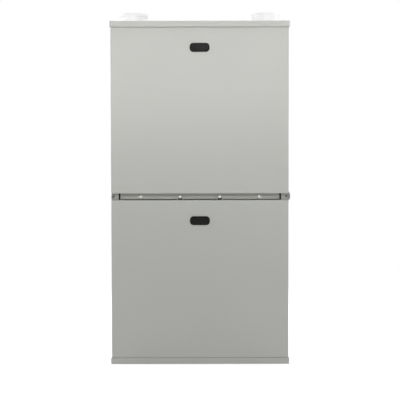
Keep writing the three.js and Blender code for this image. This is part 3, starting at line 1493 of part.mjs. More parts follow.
function transformer() {
  const x1 = panelWidth / 2 - transformerInset;
  const x0 = x1 - transformerWidth;
  const z0 = panelTopZ - panelHeight + transformerRise;
  const z1 = z0 + transformerHeight;
  const back = panelY - seat;
  const middle = back - transformerDepth / 2;
  const core = transformerCore;
  const coil = transformerCoil;
  const coilBottomZ = z0 + coil.margin;
  return join(
    box(x0, x1, back - transformerFoot, back, z0, z1),
    box(
      x0 + core.inset, x1 - core.inset, middle - core.depth / 2, middle + core.depth / 2,
      z0 + core.margin, z1 - core.margin,
    ),
    box(x0 + core.inset, x1 - core.inset, middle, back - weld, coilBottomZ - weld, coilBottomZ + weld),
    box(
      x0 + coil.inset, x1 - coil.inset, back - transformerDepth, back - coil.back,
      coilBottomZ, z1 - coil.margin,
    ),
  );
}

function junctionBox() {
  const y0 = conduitY - junctionDepth / 2;
  const y1 = y0 + junctionDepth;
  const z0 = conduitHeight - junctionHeight / 2;
  const z1 = z0 + junctionHeight;
  const out = -wallInside + seat;
  const lid = out + junctionReach;
  const shell = cut(
    box(out, lid, y0, y1, z0, z1),
    box(out + sheet, lid - sheet, y0 + sheet, y1 - sheet, z0 + sheet, z1 - sheet),
    rod('x', plugHoleRadius + sheet, out - past, out + sheet + past, [conduitY, conduitHeight]),
  );
  const discCentre = [out + junctionReach / 2, z0 + knockout.rise];
  const disc = rod('y', knockout.radius, y1 - sheet / 2, y1 + knockout.proud, discCentre, 14);
  return join(shell, disc);
}

const switchTop = railBottom - seat;
const switchFront = flangeFace + switchStandoff;
const plungerZ = switchTop - switchHeight / 2;

function doorSwitch() {
  const x0 = switchReach - switchWidth / 2;
  const back = switchFront + switchDepth;
  const body = box(x0, x0 + switchWidth, switchFront, back, switchTop - switchHeight, switchTop);
  const spades = [switchSpade.first, switchSpade.second].map((step) =>
    spade(x0 + step, back - weld, back + switchSpade.length, switchTop - switchSpade.drop));
  const wellRadius = holeRadius(plungerRadius, seat, 12);
  const well = rod('y', wellRadius, switchFront - past, back - switchFloor, [switchReach, plungerZ], 12);
  return cut(join(body, ...spades), well);
}

function doorSwitchPlunger() {
  const end = switchFront + switchDepth - plungerFloor;
  return rod('y', plungerRadius, front + sheet + seat, end, [switchReach, plungerZ], 12);
}

// Loom from the board's connector up through the deck to the gas valve.
function wiringHarness() {
  const y = boardFace - harnessLead;
  const under = valveTop - valveHeight - seat;
  return tube(smooth([
    [boardRight - connector.right + seat, y, connectorZ], [boardRight + 18, y, connectorZ + past],
    [harnessPort.x - 18, harnessPort.y + 4, connectorZ + 18], [harnessPort.x, harnessPort.y, deckBottom - 14],
    [harnessPort.x, harnessPort.y, deckTop + 16],
    [harnessPort.x + 6, harnessPort.y - 6, (deckTop + under) / 2],
    [valveReach, manifoldY + 8, under - 40], [valveReach, manifoldY + 4, under],
  ], 20), harnessRadius, 8);
}

// ---------------------------------------------------------------- the assembly
add('base_pan', basePan(), finishes.paint);
add('bottom_filler_panel', bottomFillerPanel(), finishes.galvanised);
add('left_side_panel', sidePanel(-1, [
  [drainRadius + past, drainY, plugHeight], [plugHoleRadius, conduitY, conduitHeight],
]), finishes.paint);
add('right_side_panel', sidePanel(1, [[plugHoleRadius, drainY, plugHeight]]), finishes.paint);
add('back_panel', backPanel(), finishes.paint);
add('top_panel', topPanel(), finishes.paint);
add('mid_rail', midRail(), finishes.paint);
add('blower_deck', blowerDeck(), finishes.galvanised);
add('vestibule_panel', vestibulePanel(), finishes.galvanised);
add('right_drain_plug', holePlug(1, drainY, plugHeight), finishes.greyPlastic);
add('left_conduit_plug', holePlug(-1, conduitY, conduitHeight), finishes.greyPlastic);

add('upper_door', upperDoorPanel(), finishes.paint);
add('upper_sight_glass', sightGlass(upperGlassZ), finishes.smoked);
add('upper_door_screw_left', doorScrew(-upperScrewReach), finishes.zinc);
add('upper_door_screw_right', doorScrew(upperScrewReach), finishes.zinc);
add('lower_door', lowerDoorPanel(), finishes.paint);
add('lower_sight_glass', sightGlass(lowerGlassZ), finishes.smoked);
add('lower_door_clip_left', lowerDoorClip(-notchReach), finishes.blackSteel);
add('lower_door_clip_right', lowerDoorClip(notchReach), finishes.blackSteel);
add('lower_door_screw_left', doorScrew(-notchReach), finishes.zinc);
add('lower_door_screw_right', doorScrew(notchReach), finishes.zinc);

add('vent_coupling', ventCoupling(), finishes.whitePvc);
add('intake_coupling', intakeCoupling(), finishes.whitePvc);
tubeCentres.forEach((x, i) => add(`heat_exchanger_tube_${i + 1}`, serpentine(x), finishes.aluminised));
add('hot_header', hotHeader(), finishes.aluminised);
add('secondary_coil', secondaryCoil(), finishes.stainless);
add('collector_box', collectorBox(), finishes.blackPlastic);
add('condensate_trap', condensateTrap(), finishes.greyPlastic);
add('drain_hose', drainHose(), finishes.rubber);
add('inducer_housing', inducerHousing(), finishes.blackPlastic);
add('inducer_motor', inducerMotor(), finishes.motorGrey);
add('inducer_shaft', inducerShaft(), finishes.zinc);
add('inducer_wheel', inducerWheel(), finishes.greyPlastic);
add('pressure_switch', pressureSwitch(), finishes.blue);
add('limit_switch', limitSwitch(), finishes.ceramic);
add('rollout_switch', rolloutSwitch(), finishes.blackPlastic);
add('rollout_reset_button', rolloutResetButton(), finishes.red);

add('inshot_burners', inshotBurners(), finishes.aluminised);
add('burner_tray', burnerTray(), finishes.galvanised);
add('gas_manifold', gasManifold(), finishes.blackSteel);
add('gas_valve', gasValve(), finishes.castMetal);
add('gas_valve_knob', gasValveKnob(), finishes.red);
add('hot_surface_igniter', hotSurfaceIgniter(), finishes.ceramic);
add('flame_sensor', flameSensor(), finishes.ceramic);

add('blower_side_left', blowerSide(-1), finishes.galvanised);
add('blower_side_right', blowerSide(1), finishes.galvanised);
add('blower_scroll', blowerScroll(), finishes.galvanised);
add('blower_wheel', blowerWheel(), finishes.galvanised);
add('blower_motor', blowerMotor(), finishes.motorGrey);
add('blower_motor_shaft', blowerMotorShaft(), finishes.zinc);
add('motor_mount', motorMount(), finishes.zinc);

add('control_panel', controlPanel(), finishes.galvanised);
add('control_board', controlBoard(), finishes.circuitGreen);
add('transformer', transformer(), finishes.motorGrey);
add('junction_box', junctionBox(), finishes.galvanised);
add('door_switch', doorSwitch(), finishes.blackPlastic);
add('door_switch_plunger', doorSwitchPlunger(), finishes.brass);
add('wiring_harness', wiringHarness(), finishes.rubber);

export default furnace;
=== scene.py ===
"""Looks of the forced air gas furnace: finishes, small parts and studio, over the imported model.

Metres, +Z up, front towards -Y, the same frame as the solids.
"""
import math

import bmesh
import bpy
from mathutils import Matrix, Vector


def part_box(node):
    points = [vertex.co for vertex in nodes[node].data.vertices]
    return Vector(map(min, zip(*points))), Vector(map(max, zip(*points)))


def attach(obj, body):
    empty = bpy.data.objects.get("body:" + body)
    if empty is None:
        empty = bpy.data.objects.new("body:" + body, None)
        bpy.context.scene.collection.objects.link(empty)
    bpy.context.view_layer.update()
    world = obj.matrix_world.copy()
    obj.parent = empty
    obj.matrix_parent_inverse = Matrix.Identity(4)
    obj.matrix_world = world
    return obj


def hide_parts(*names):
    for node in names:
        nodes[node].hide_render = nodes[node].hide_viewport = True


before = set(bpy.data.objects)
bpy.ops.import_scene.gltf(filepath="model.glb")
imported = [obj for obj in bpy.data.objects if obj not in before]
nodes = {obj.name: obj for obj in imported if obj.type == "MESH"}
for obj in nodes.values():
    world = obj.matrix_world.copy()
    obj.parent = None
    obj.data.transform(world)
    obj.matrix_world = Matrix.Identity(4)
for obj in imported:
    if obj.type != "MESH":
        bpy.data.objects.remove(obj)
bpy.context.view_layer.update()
for spare in ("Cube", "Light", "Camera"):
    if spare in bpy.data.objects:
        bpy.data.objects.remove(bpy.data.objects[spare])

MM = 0.001

# ------------------------------------------------------------ driving values
# camera, fitted to the outer edges in the photograph
EYE = Vector((0.0003, -2.965, 0.516))
TILT_DOWN = 2.26  # degrees
ROLL = -0.11  # degrees
LENS = 93.4  # millimetres, over a sensor this wide
SENSOR = 36.0

# lamps: place, what they aim at, width, height, power in watts, beam in degrees, colour
WHITE = (1.0, 0.995, 0.98)
COOL = (0.95, 0.975, 1.0)
LAMPS = {
    "key": ((0.0, -2.6, 1.24), (0.0, -0.365, 0.75), 1.6, 0.24, 1.65, 30, WHITE),
    "fill": ((0.0, -1.9, 0.14), (0.0, -0.365, -0.02), 1.8, 0.2, 0.6, 44, WHITE),
    "overhead": ((0.0, 0.1, 2.6), (0.0, 0.0, 0.0), 2.4, 2.4, 22.0, 180, WHITE),
    "left": ((-2.3, 0.0, 1.1), (0.0, 0.0, 0.5), 1.6, 1.8, 22.0, 180, COOL),
    "right": ((2.3, 0.0, 1.1), (0.0, 0.0, 0.5), 1.6, 1.8, 22.0, 180, COOL),
    "rear": ((0.0, 2.4, 1.2), (0.0, 0.0, 0.5), 2.4, 1.4, 19.0, 180, WHITE),
}
WORLD_LIGHT = 0.31
BACKDROP = (1.0, 1.0, 1.0, 1.0)
WORLD_COLOUR = (0.97, 0.985, 1.0, 1.0)
FLOOR_COLOUR = (0.93, 0.93, 0.93, 1.0)
FLOOR_RADIUS = 9.0
FLOOR_DROP = 0.4 * MM
FLOOR_LIFT = 0.5  # what the camera sees added to the floor near the object
FLOOR_FADE = (0.45, 1.3)  # the floor's shading gives way to plain white between these radii

# smooth shading and rounded edges
CREASE = math.radians(34)  # edges sharper than this stay crisp
BEAD_CREASE = math.radians(9)  # the same on the back panel, whose pressed beads have low slopes
MERGE_DISTANCE = 2e-6
EDGES = {
    "cabinet_paint": 0.45 * MM, "galvanised_steel": 0.3 * MM, "black_plastic": 0.6 * MM,
    "grey_plastic": 0.5 * MM, "motor_grey": 0.6 * MM, "cast_metal": 0.8 * MM, "ceramic": 0.4 * MM,
    "blue_plastic": 0.5 * MM, "white_pvc": 0.5 * MM, "smoked_window": 0.5 * MM, "circuit_board": 0.4 * MM,
    "black_steel": 0.3 * MM, "zinc_plated_steel": 0.3 * MM,
}

# sheet metal screws: radius and height of the head
CASE_SCREW = (4.2 * MM, 2.3 * MM)
SIDE_SCREW = (4.0 * MM, 1.8 * MM)
COUPLING_SCREW = (3.6 * MM, 2.6 * MM)
COLLECTOR_SCREW = (3.6 * MM, 2.6 * MM)
BLOWER_SCREW = (3.6 * MM, 2.4 * MM)
SHEET_SCREW = (3.8 * MM, 2.4 * MM)
MOTOR_SCREW = (4.0 * MM, 3.0 * MM)
TRAY_SCREW = (3.4 * MM, 2.0 * MM)
PANEL_SCREW = (3.2 * MM, 1.9 * MM)
TERMINAL_SCREW = (2.7 * MM, 1.3 * MM)
BOARD_SCREW = (2.9 * MM, 1.6 * MM)
RIVET = (3.0 * MM, 1.2 * MM)

# ------------------------------------------------------------ material nodes
NOISE_SPAN = (0.3, 0.7)  # nearly all of a noise lies between these values


class Graph:
    """A material's node tree, with short ways to add the nodes used here."""

    def __init__(self, name):
        self.material = bpy.data.materials.new(name)
        self.material.use_nodes = True
        self.tree = self.material.node_tree
        self.tree.nodes.clear()
        self.output = self.add("ShaderNodeOutputMaterial")
        self.place = self.add("ShaderNodeTexCoord").outputs["Object"]

    def add(self, kind, **settings):
        made = self.tree.nodes.new(kind)
        for key, value in settings.items():
            setattr(made, key, value)
        return made

    def link(self, source, target):
        self.tree.links.new(source, target)

    def stretched(self, stretch):
        mapping = self.add("ShaderNodeMapping")
        mapping.inputs["Scale"].default_value = stretch
        self.link(self.place, mapping.inputs["Vector"])
        return mapping.outputs["Vector"]

    def noise(self, scale, detail=2.0, stretch=None):
        made = self.add("ShaderNodeTexNoise")
        made.inputs["Scale"].default_value = scale
        made.inputs["Detail"].default_value = detail
        self.link(self.stretched(stretch) if stretch else self.place, made.inputs["Vector"])
        return made.outputs["Fac"]

    def cells(self, scale, output="Color"):
        made = self.add("ShaderNodeTexVoronoi")
        made.inputs["Scale"].default_value = scale
        self.link(self.place, made.inputs["Vector"])
        return made.outputs[output]

    def remap(self, value, low, high, to_low, to_high):
        made = self.add("ShaderNodeMapRange")
        for key, number in zip(("From Min", "From Max", "To Min", "To Max"), (low, high, to_low, to_high)):
            made.inputs[key].default_value = number
        self.link(value, made.inputs["Value"])
        return made.outputs["Result"]

    def spread(self, noise, low, high):
        """A number that wanders from low to high with a noise."""
        return self.remap(noise, *NOISE_SPAN, low, high)

    def mix(self, factor, first, second):
        made = self.add("ShaderNodeMix", data_type="RGBA")
        self.link(factor, made.inputs[0])
        for socket, colour in ((made.inputs[6], first), (made.inputs[7], second)):
            if isinstance(colour, tuple):
                socket.default_value = (*colour, 1.0)
            else:
                self.link(colour, socket)
        return made.outputs[2]

    def relief(self, height, depth, strength=1.0, under=None):
        made = self.add("ShaderNodeBump")
        made.inputs["Strength"].default_value = strength
        made.inputs["Distance"].default_value = depth
        self.link(height, made.inputs["Height"])
        if under is not None:
            self.link(under, made.inputs["Normal"])
        return made.outputs["Normal"]

    def shader(self, colour, roughness, metallic=0.0, normal=None, coat=0.0):
        made = self.add("ShaderNodeBsdfPrincipled")
        made.inputs["Metallic"].default_value = metallic
        made.inputs["Coat Weight"].default_value = coat
        for key, value in (("Base Color", colour), ("Roughness", roughness)):
            if isinstance(value, (tuple, float)):
                made.inputs[key].default_value = (*value, 1.0) if isinstance(value, tuple) else value
            else:
                self.link(value, made.inputs[key])
        if normal is not None:
            self.link(normal, made.inputs["Normal"])
        self.link(made.outputs["BSDF"], self.output.inputs["Surface"])
        return made


def shade(colour, share):
    return tuple(min(1.0, part * share) for part in colour)


def plain(name, colour, roughness, metallic=0.0, patch=14.0, spread=0.05, grain=900.0, depth=0.05 * MM,
          coat=0.0, specular=0.5):
    """Plastic, rubber or dull metal: slow tone changes, uneven gloss and a fine surface grain."""
    g = Graph(name)
    patches = g.spread(g.noise(patch, 4.0), 0.0, 1.0)
    tone = g.mix(patches, shade(colour, 1 - spread), shade(colour, 1 + spread))
    gloss = g.spread(g.noise(patch * 4, 3.0), roughness * 0.9, roughness * 1.1)
    made = g.shader(tone, gloss, metallic, g.relief(g.noise(grain, 3.0), depth), coat)
    made.inputs["Specular IOR Level"].default_value = specular
    return g.material


def painted(name, colour, roughness):
    """Baked powder paint on sheet metal: a soft orange peel and a very slight unevenness of tone."""
    g = Graph(name)
    tone = g.mix(g.spread(g.noise(3.0, 5.0), 0.0, 1.0), shade(colour, 0.985), shade(colour, 1.015))
    speck = g.remap(g.noise(2600.0, 1.0), 0.62, 0.75, 0.0, 0.12)
    tone = g.mix(speck, tone, shade(colour, 0.8))
    gloss = g.spread(g.noise(9.0, 4.0), roughness * 0.92, roughness * 1.08)
    peel = g.relief(g.noise(330.0, 2.0), 0.12 * MM, 0.35)
    g.shader(tone, gloss, 0.0, g.relief(g.noise(1900.0, 2.0), 0.03 * MM, 0.3, peel))
    return g.material


def spangled(name, colour):
    """Hot dip galvanised sheet: flat zinc crystals, each with its own tone and gloss."""
    g = Graph(name)
    split = g.add("ShaderNodeSeparateColor")
    g.link(g.cells(95.0), split.inputs["Color"])
    tone = g.mix(split.outputs["Red"], shade(colour, 0.8), shade(colour, 1.18))
    haze = g.spread(g.noise(11.0, 4.0), 0.0, 0.35)
    tone = g.mix(haze, tone, shade(colour, 0.92))
    gloss = g.remap(split.outputs["Green"], 0.0, 1.0, 0.3, 0.48)
    g.shader(tone, gloss, 0.9, g.relief(g.noise(420.0, 3.0), 0.05 * MM, 0.4))
    return g.material


def brushed(name, colour, roughness, along, stain=None):
    """Rolled sheet or drawn bar: fine lines along one direction, where wanted under patches of a stain."""
    g = Graph(name)
    stretch = tuple(1.0 if axis == along else 26.0 for axis in "xyz")
    lines = g.noise(70.0, 3.0, stretch)
    tone = g.mix(g.spread(lines, 0.0, 1.0), shade(colour, 0.88), shade(colour, 1.1))
    if stain:
        tone = g.mix(g.remap(g.noise(9.0, 5.0), 0.48, 0.72, 0.0, 0.7), tone, stain)
    gloss = g.spread(lines, roughness * 0.8, roughness * 1.2)
    g.shader(tone, gloss, 1.0, g.relief(lines, 0.03 * MM, 0.5))
    return g.material


def printed_board(name):
    """Solder mask over copper runs, with small tinned pads."""
    g = Graph(name)
    mask, copper, tin = (0.012, 0.11, 0.035), (0.03, 0.2, 0.07), (0.55, 0.56, 0.55)
    upright = g.add("ShaderNodeMapping")
    upright.inputs["Rotation"].default_value = (math.pi / 2, 0.0, 0.0)
    g.link(g.place, upright.inputs["Vector"])
    runs = g.add("ShaderNodeTexBrick", offset=0.37, squash=1.6, squash_frequency=3)
    g.link(upright.outputs["Vector"], runs.inputs["Vector"])
    runs.inputs["Scale"].default_value = 90.0
    runs.inputs["Mortar Size"].default_value = 0.035
    tone = g.mix(runs.outputs["Fac"], mask, copper)
    pads = g.remap(g.cells(260.0, "Distance"), 0.16, 0.2, 1.0, 0.0)
    keep = g.remap(g.noise(60.0, 1.0), 0.55, 0.57, 0.0, 1.0)
    both = g.add("ShaderNodeMath", operation="MULTIPLY")
    g.link(pads, both.inputs[0])
    g.link(keep, both.inputs[1])
    tone = g.mix(both.outputs["Value"], tone, tin)
    g.shader(tone, 0.32, 0.0, g.relief(runs.outputs["Fac"], 0.06 * MM), 0.25)
    return g.material


finishes = {
    "cabinet_paint": painted("cabinet_paint_look", (0.520, 0.524, 0.492), 0.5),
    "galvanised_steel": spangled("galvanised_look", (0.5, 0.52, 0.53)),
    "aluminised_steel": brushed("aluminised_look", (0.42, 0.43, 0.43), 0.42, "y", stain=(0.33, 0.27, 0.2)),
    "stainless_steel": brushed("stainless_look", (0.55, 0.55, 0.56), 0.3, "y"),
    "zinc_plated_steel": brushed("zinc_look", (0.52, 0.52, 0.5), 0.42, "x"),
    "brass": brushed("brass_look", (0.62, 0.43, 0.13), 0.3, "y"),
    "circuit_board": printed_board("board_look"),
    "black_steel": plain(
        "black_steel_look", (0.022, 0.022, 0.022), 0.42,
        metallic=0.2, patch=20.0, spread=0.3, grain=700.0, depth=0.08 * MM,
    ),
    "cast_metal": plain(
        "cast_look", (0.5, 0.5, 0.51), 0.5,
        metallic=0.85, patch=30.0, spread=0.1, grain=620.0, depth=0.16 * MM,
    ),
    "motor_grey": plain(
        "motor_look", (0.085, 0.095, 0.105), 0.38,
        metallic=0.1, patch=16.0, spread=0.12, grain=800.0, depth=0.07 * MM, coat=0.15,
    ),
    "white_pvc": plain(
        "pvc_look", (0.93, 0.93, 0.94), 0.36, patch=12.0, spread=0.02, grain=1200.0, depth=0.03 * MM,
    ),
    "smoked_window": plain(
        "smoked_look", (0.006, 0.006, 0.005), 0.1,
        patch=12.0, spread=0.3, grain=500.0, depth=0.01 * MM, specular=0.1,
    ),
    "black_plastic": plain(
        "black_plastic_look", (0.016, 0.016, 0.017), 0.48,
        patch=18.0, spread=0.25, grain=1500.0, depth=0.09 * MM,
    ),
    "grey_plastic": plain(
        "grey_plastic_look", (0.12, 0.12, 0.12), 0.45,
        patch=18.0, spread=0.1, grain=1500.0, depth=0.07 * MM,
    ),
    "blue_plastic": plain(
        "blue_plastic_look", (0.03, 0.07, 0.25), 0.42,
        patch=18.0, spread=0.12, grain=1500.0, depth=0.07 * MM,
    ),
    "red_plastic": plain(
        "red_plastic_look", (0.45, 0.02, 0.015), 0.34,
        patch=24.0, spread=0.1, grain=1500.0, depth=0.05 * MM, coat=0.2,
    ),
    "black_rubber": plain(
        "rubber_look", (0.016, 0.016, 0.017), 0.7, patch=22.0, spread=0.25, grain=1300.0, depth=0.08 * MM,
    ),
    "ceramic": plain(
        "ceramic_look", (0.74, 0.71, 0.64), 0.62, patch=40.0, spread=0.06, grain=1400.0, depth=0.08 * MM,
    ),
    # rivets made dark grey as painted shade beside the door stops
    "rivet_painted_shade": plain("rivet_look", (0.2, 0.2, 0.2), 0.5, patch=60.0, spread=0.15, grain=800.0),
    "foil": brushed("foil_look", (0.66, 0.66, 0.65), 0.34, "x"),
    "silicone": plain("silicone_look", (0.55, 0.55, 0.53), 0.45, patch=20.0, grain=700.0, depth=0.02 * MM),
}
INSULATION = {
    "black": (0.014, 0.014, 0.015), "red": (0.42, 0.02, 0.02), "white": (0.75, 0.75, 0.73),
    "blue": (0.03, 0.09, 0.42), "yellow": (0.7, 0.5, 0.04), "brown": (0.11, 0.045, 0.02),
    "clear": (0.62, 0.63, 0.64),
}
for colour, value in INSULATION.items():
    finishes[f"wire_{colour}"] = plain(
        f"wire_{colour}_look", value, 0.42, patch=30.0, spread=0.08, depth=0.02 * MM,
    )

# ------------------------------------------------------------ mesh tools


def basis(place, direction=(0, 0, 1)):
    """A matrix that puts a shape drawn up +Z at a place, turned to a direction."""
    turn = Vector(direction).to_track_quat("Z", "Y").to_matrix().to_4x4()
    return Matrix.Translation(Vector(place)) @ turn


def lathe(bm, outline, sides, matrix):
    """Turns an outline of (radius, height) points round the axis of the matrix."""
    rings = []
    for radius, height in outline:
        if radius == 0:
            rings.append([bm.verts.new(matrix @ Vector((0, 0, height)))])
            continue
        turns = [2 * math.pi * i / sides for i in range(sides)]
        rings.append([
            bm.verts.new(matrix @ Vector((radius * math.cos(t), radius * math.sin(t), height))) for t in turns
        ])
    for one, two in zip(rings, rings[1:]):
        for i in range(sides):
            ring = [one[i % len(one)], one[(i + 1) % len(one)], two[(i + 1) % len(two)], two[i % len(two)]]
            corners = list(dict.fromkeys(ring))
            if len(corners) > 2:
                bm.faces.new(corners)


def curve_through(points, steps):
    """Points on a smooth curve through the given ones, with this many steps between each two."""
    spots = [Vector(p) for p in points]
    ends = [2 * spots[0] - spots[1], *spots, 2 * spots[-1] - spots[-2]]
    found = []
    for a, b, c, d in zip(ends, ends[1:], ends[2:], ends[3:]):
        for i in range(steps):
            t = i / steps
            found.append(0.5 * (
                2 * b + (c - a) * t + (2 * a - 5 * b + 4 * c - d) * t * t + (3 * b - a - 3 * c + d) * t ** 3
            ))
    return [*found, spots[-1]]


def sweep(bm, path, radius, sides):
    """A round rod along a path, closed at both ends. The radius may change along it."""
    widths = radius if isinstance(radius, list) else [radius] * len(path)
    across = None
    rings = []
    for i, spot in enumerate(path):
        ahead = (path[min(i + 1, len(path) - 1)] - path[max(i - 1, 0)]).normalized()
        if across is None:
            across = ahead.orthogonal().normalized()
        across = (across - ahead * across.dot(ahead)).normalized()
        upward = ahead.cross(across)
        turns = [2 * math.pi * k / sides for k in range(sides)]
        rings.append([
            bm.verts.new(spot + widths[i] * (across * math.cos(t) + upward * math.sin(t))) for t in turns
        ])
    for one, two in zip(rings, rings[1:]):
        for k in range(sides):
            bm.faces.new([one[k], one[(k + 1) % sides], two[(k + 1) % sides], two[k]])
    bm.faces.new(list(reversed(rings[0])))
    bm.faces.new(rings[-1])


def block(bm, low, high, edge=0.0, matrix=None):
    """A box between two corners, with its edges rounded where an edge is given."""
    low, high = Vector(low), Vector(high)
    centre, size = (low + high) / 2, high - low
    placed = Matrix.Translation(centre) @ Matrix.Diagonal((*size, 1))
    made = bmesh.ops.create_cube(bm, size=1, matrix=(matrix @ placed) if matrix else placed)
    if edge:
        edges = list({e for v in made["verts"] for e in v.link_edges})
        bmesh.ops.bevel(bm, geom=edges, offset=edge, segments=2, profile=0.6, affect="EDGES")


def hex_screw(bm, place, direction, radius, height):
    """Sheet metal screw: washer face, six-sided head with a sunk crown."""
    matrix = basis(place, direction)
    rim, body = radius, radius * 0.78
    lathe(bm, [
        (0, 0), (rim, 0), (rim, height * 0.16), (rim * 0.92, height * 0.28), (0, height * 0.28),
    ], 20, matrix)
    lathe(bm, [
        (0, height * 0.2), (body, height * 0.2), (body, height * 0.82), (body * 0.88, height),
        (body * 0.55, height), (body * 0.5, height * 0.86), (0, height * 0.86),
    ], 6, matrix)


def pan_screw(bm, place, direction, radius, height):
    """Round head screw with a round socket in its middle."""
    lathe(bm, [
        (0, 0), (radius, 0), (radius, height * 0.25), (radius * 0.86, height * 0.68),
        (radius * 0.55, height * 0.94), (radius * 0.34, height), (radius * 0.3, height * 0.55),
        (0, height * 0.5),
    ], 16, basis(place, direction))


def rivet(bm, place, direction, radius, height):
    """Blind rivet: a low dome with its drawn mandrel hole."""
    lathe(bm, [
        (0, 0), (radius, 0), (radius * 0.95, height * 0.4), (radius * 0.6, height * 0.9),
        (radius * 0.35, height), (radius * 0.3, height * 0.5), (0, height * 0.45),
    ], 16, basis(place, direction))


def middle(name):
    """The middle of a solid's box."""
    low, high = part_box(name)
    return (low + high) / 2


def turns_round(count, first=0):
    """Angles of this many places spread evenly round a circle, the first one given in degrees."""
    return [math.radians(first + i * 360 / count) for i in range(count)]


def piece(name, bm, finish, body="cabinet"):
    """Makes an object of the shape, in that finish, riding on the body."""
    bmesh.ops.recalc_face_normals(bm, faces=bm.faces)
    mesh = bpy.data.meshes.new(name)
    bm.to_mesh(mesh)
    bm.free()
    mesh.polygons.foreach_set("use_smooth", [True] * len(mesh.polygons))
    mesh.set_sharp_from_angle(angle=CREASE)
    made = bpy.data.objects.new(name, mesh)
    bpy.context.scene.collection.objects.link(made)
    made.data.materials.append(finishes[finish])
    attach(made, body)
    return made


def spot_key(place):
    """A corner's place in whole micrometres, the same for corners that meet."""
    return tuple(round(part * 1e6) for part in place)


def dress(solid, finish, edge, crease=CREASE):
    """Gives a solid its finish, smooth shading between crisp edges, and a small round on its corners."""
    mesh = solid.data
    if "custom_normal" in mesh.attributes:
        mesh.attributes.remove(mesh.attributes["custom_normal"])
    mesh.materials.clear()
    mesh.materials.append(finish)
    keys = [spot_key(v.co) for v in mesh.vertices]
    meeting = {}
    for face in mesh.polygons:
        for a, b in face.edge_keys:
            meeting.setdefault(frozenset((keys[a], keys[b])), []).append(face.normal.copy())
    crisp = []
    for line in mesh.edges:
        a, b = line.vertices
        faces = meeting[frozenset((keys[a], keys[b]))]
        crisp.append(len(faces) != 2 or faces[0].angle(faces[1], 0.0) > crease)
    mesh.polygons.foreach_set("use_smooth", [True] * len(mesh.polygons))
    sharp = mesh.attributes.get("sharp_edge") or mesh.attributes.new("sharp_edge", "BOOLEAN", "EDGE")
    sharp.data.foreach_set("value", crisp)
    if "sharp_face" in mesh.attributes:
        mesh.attributes.remove(mesh.attributes["sharp_face"])
    weld = solid.modifiers.new("weld", "WELD")
    weld.merge_threshold = MERGE_DISTANCE
    if edge:
        bevel = solid.modifiers.new("round", "BEVEL")
        bevel.width = edge
        bevel.segments = 2
        bevel.limit_method = "ANGLE"
        bevel.angle_limit = crease
        bevel.harden_normals = True


for name, solid in nodes.items():
    slot = solid.material_slots[0].material.name.split(".")[0]
    if name == "back_panel":
        dress(solid, finishes[slot], 0.0, BEAD_CREASE)
    else:
        dress(solid, finishes[slot], EDGES.get(slot, 0.0))

# ------------------------------------------------------------ places, from the solids
SHEET = 1.0 * MM
LAND_RISE = 1.0 * MM  # what the land round the supply opening stands proud of the cap
CASE_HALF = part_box("upper_door")[1].x  # half the cabinet's width
BACK_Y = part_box("back_panel")[1].y  # tops of the back panel's beads
DUCT_RISE = 0.6 * MM  # what the duct fields stand proud of the side panels' plain faces
SIDE_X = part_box("right_side_panel")[1].x - DUCT_RISE
CAP_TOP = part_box("top_panel")[1].z - LAND_RISE
BASE_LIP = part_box("base_pan")[1].z
CAP_LIP = CAP_TOP - BASE_LIP  # the cap's lip is as high as the base's
DOOR_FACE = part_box("upper_door")[0].y
DOOR_SKIN = 1.3 * MM  # from a door's face to what lies against its inside
LOWER_DOOR_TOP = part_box("lower_door")[1].z
GAP_Z = middle("upper_door_screw_left").z  # middle of the gap between the doors
CLIP_X = middle("lower_door_clip_right").x
FLANGE_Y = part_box("left_side_panel")[0].y  # front of the side panels' flanges
VESTIBULE_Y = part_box("vestibule_panel")[1].y - SHEET
DECK_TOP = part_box("blower_deck")[1].z
PANEL_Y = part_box("control_panel")[0].y  # the control panel's face
BOARD_Y = -192.9 * MM  # the control board's face
TERMINAL_Z = 375.7 * MM  # the board's row of terminal screws
TRAY_UNDER = 754.2 * MM  # foot of the screws beside the burner tray
COLLECTOR_Y = -192.4 * MM  # the collector box's front, between its ribs


# ------------------------------------------------------------ small parts of the cabinet
def case_screws():
    """Screws round the back panel and along the side panels' edges, with two more up each side."""
    bm = bmesh.new()
    inset, spaces, edge_x, inner_x = 14 * MM, 5, 209 * MM, 120 * MM
    low, high = BASE_LIP + inset, CAP_LIP - inset
    rows = [low + i * (high - low) / spaces for i in range(spaces + 1)]
    back_places = [(x, z) for z in rows for x in (-edge_x, edge_x)]
    back_places += [(x, z) for x in (-inner_x, 0, inner_x) for z in (low, high)]
    for x, z in back_places:
        hex_screw(bm, (x, BACK_Y, z), (0, 1, 0), *CASE_SCREW)
    lip_gap, inner_y, deck_edge, half_way = 8 * MM, -130 * MM, DECK_TOP - 5 * MM, 620 * MM
    side_places = [(y, z) for y in (-0.32, -0.1, 0.12, 0.34) for z in (BASE_LIP + lip_gap, CAP_LIP - lip_gap)]
    side_places += [(inner_y, deck_edge), (inner_y, half_way)]
    for side in (-1, 1):
        for y, z in side_places:
            hex_screw(bm, (side * SIDE_X, y, z), (side, 0, 0), *SIDE_SCREW)
    piece("case_screws", bm, "zinc_plated_steel")


def coupling_screws():
    """Four screws through each pipe coupling's flange into the cap."""
    bm = bmesh.new()
    circle = 42 * MM
    flange_top = CAP_TOP + 3.3 * MM
    for name in ("vent_coupling", "intake_coupling"):
        centre = middle(name)
        for angle in turns_round(4, 45):
            x, y = centre.x + circle * math.cos(angle), centre.y + circle * math.sin(angle)
            hex_screw(bm, (x, y, flange_top), (0, 0, 1), *COUPLING_SCREW)
    piece("coupling_screws", bm, "zinc_plated_steel")


def flange_rivets():
    """Rivets in the side flanges, level with the gap between the doors, dark grey as painted shade beside the
    door stops.
    """
    bm = bmesh.new()
    x = CASE_HALF - 5.05 * MM
    for side in (-1, 1):
        rivet(bm, (side * x, FLANGE_Y, GAP_Z), (0, -1, 0), *RIVET)
    piece("flange_rivets", bm, "rivet_painted_shade")


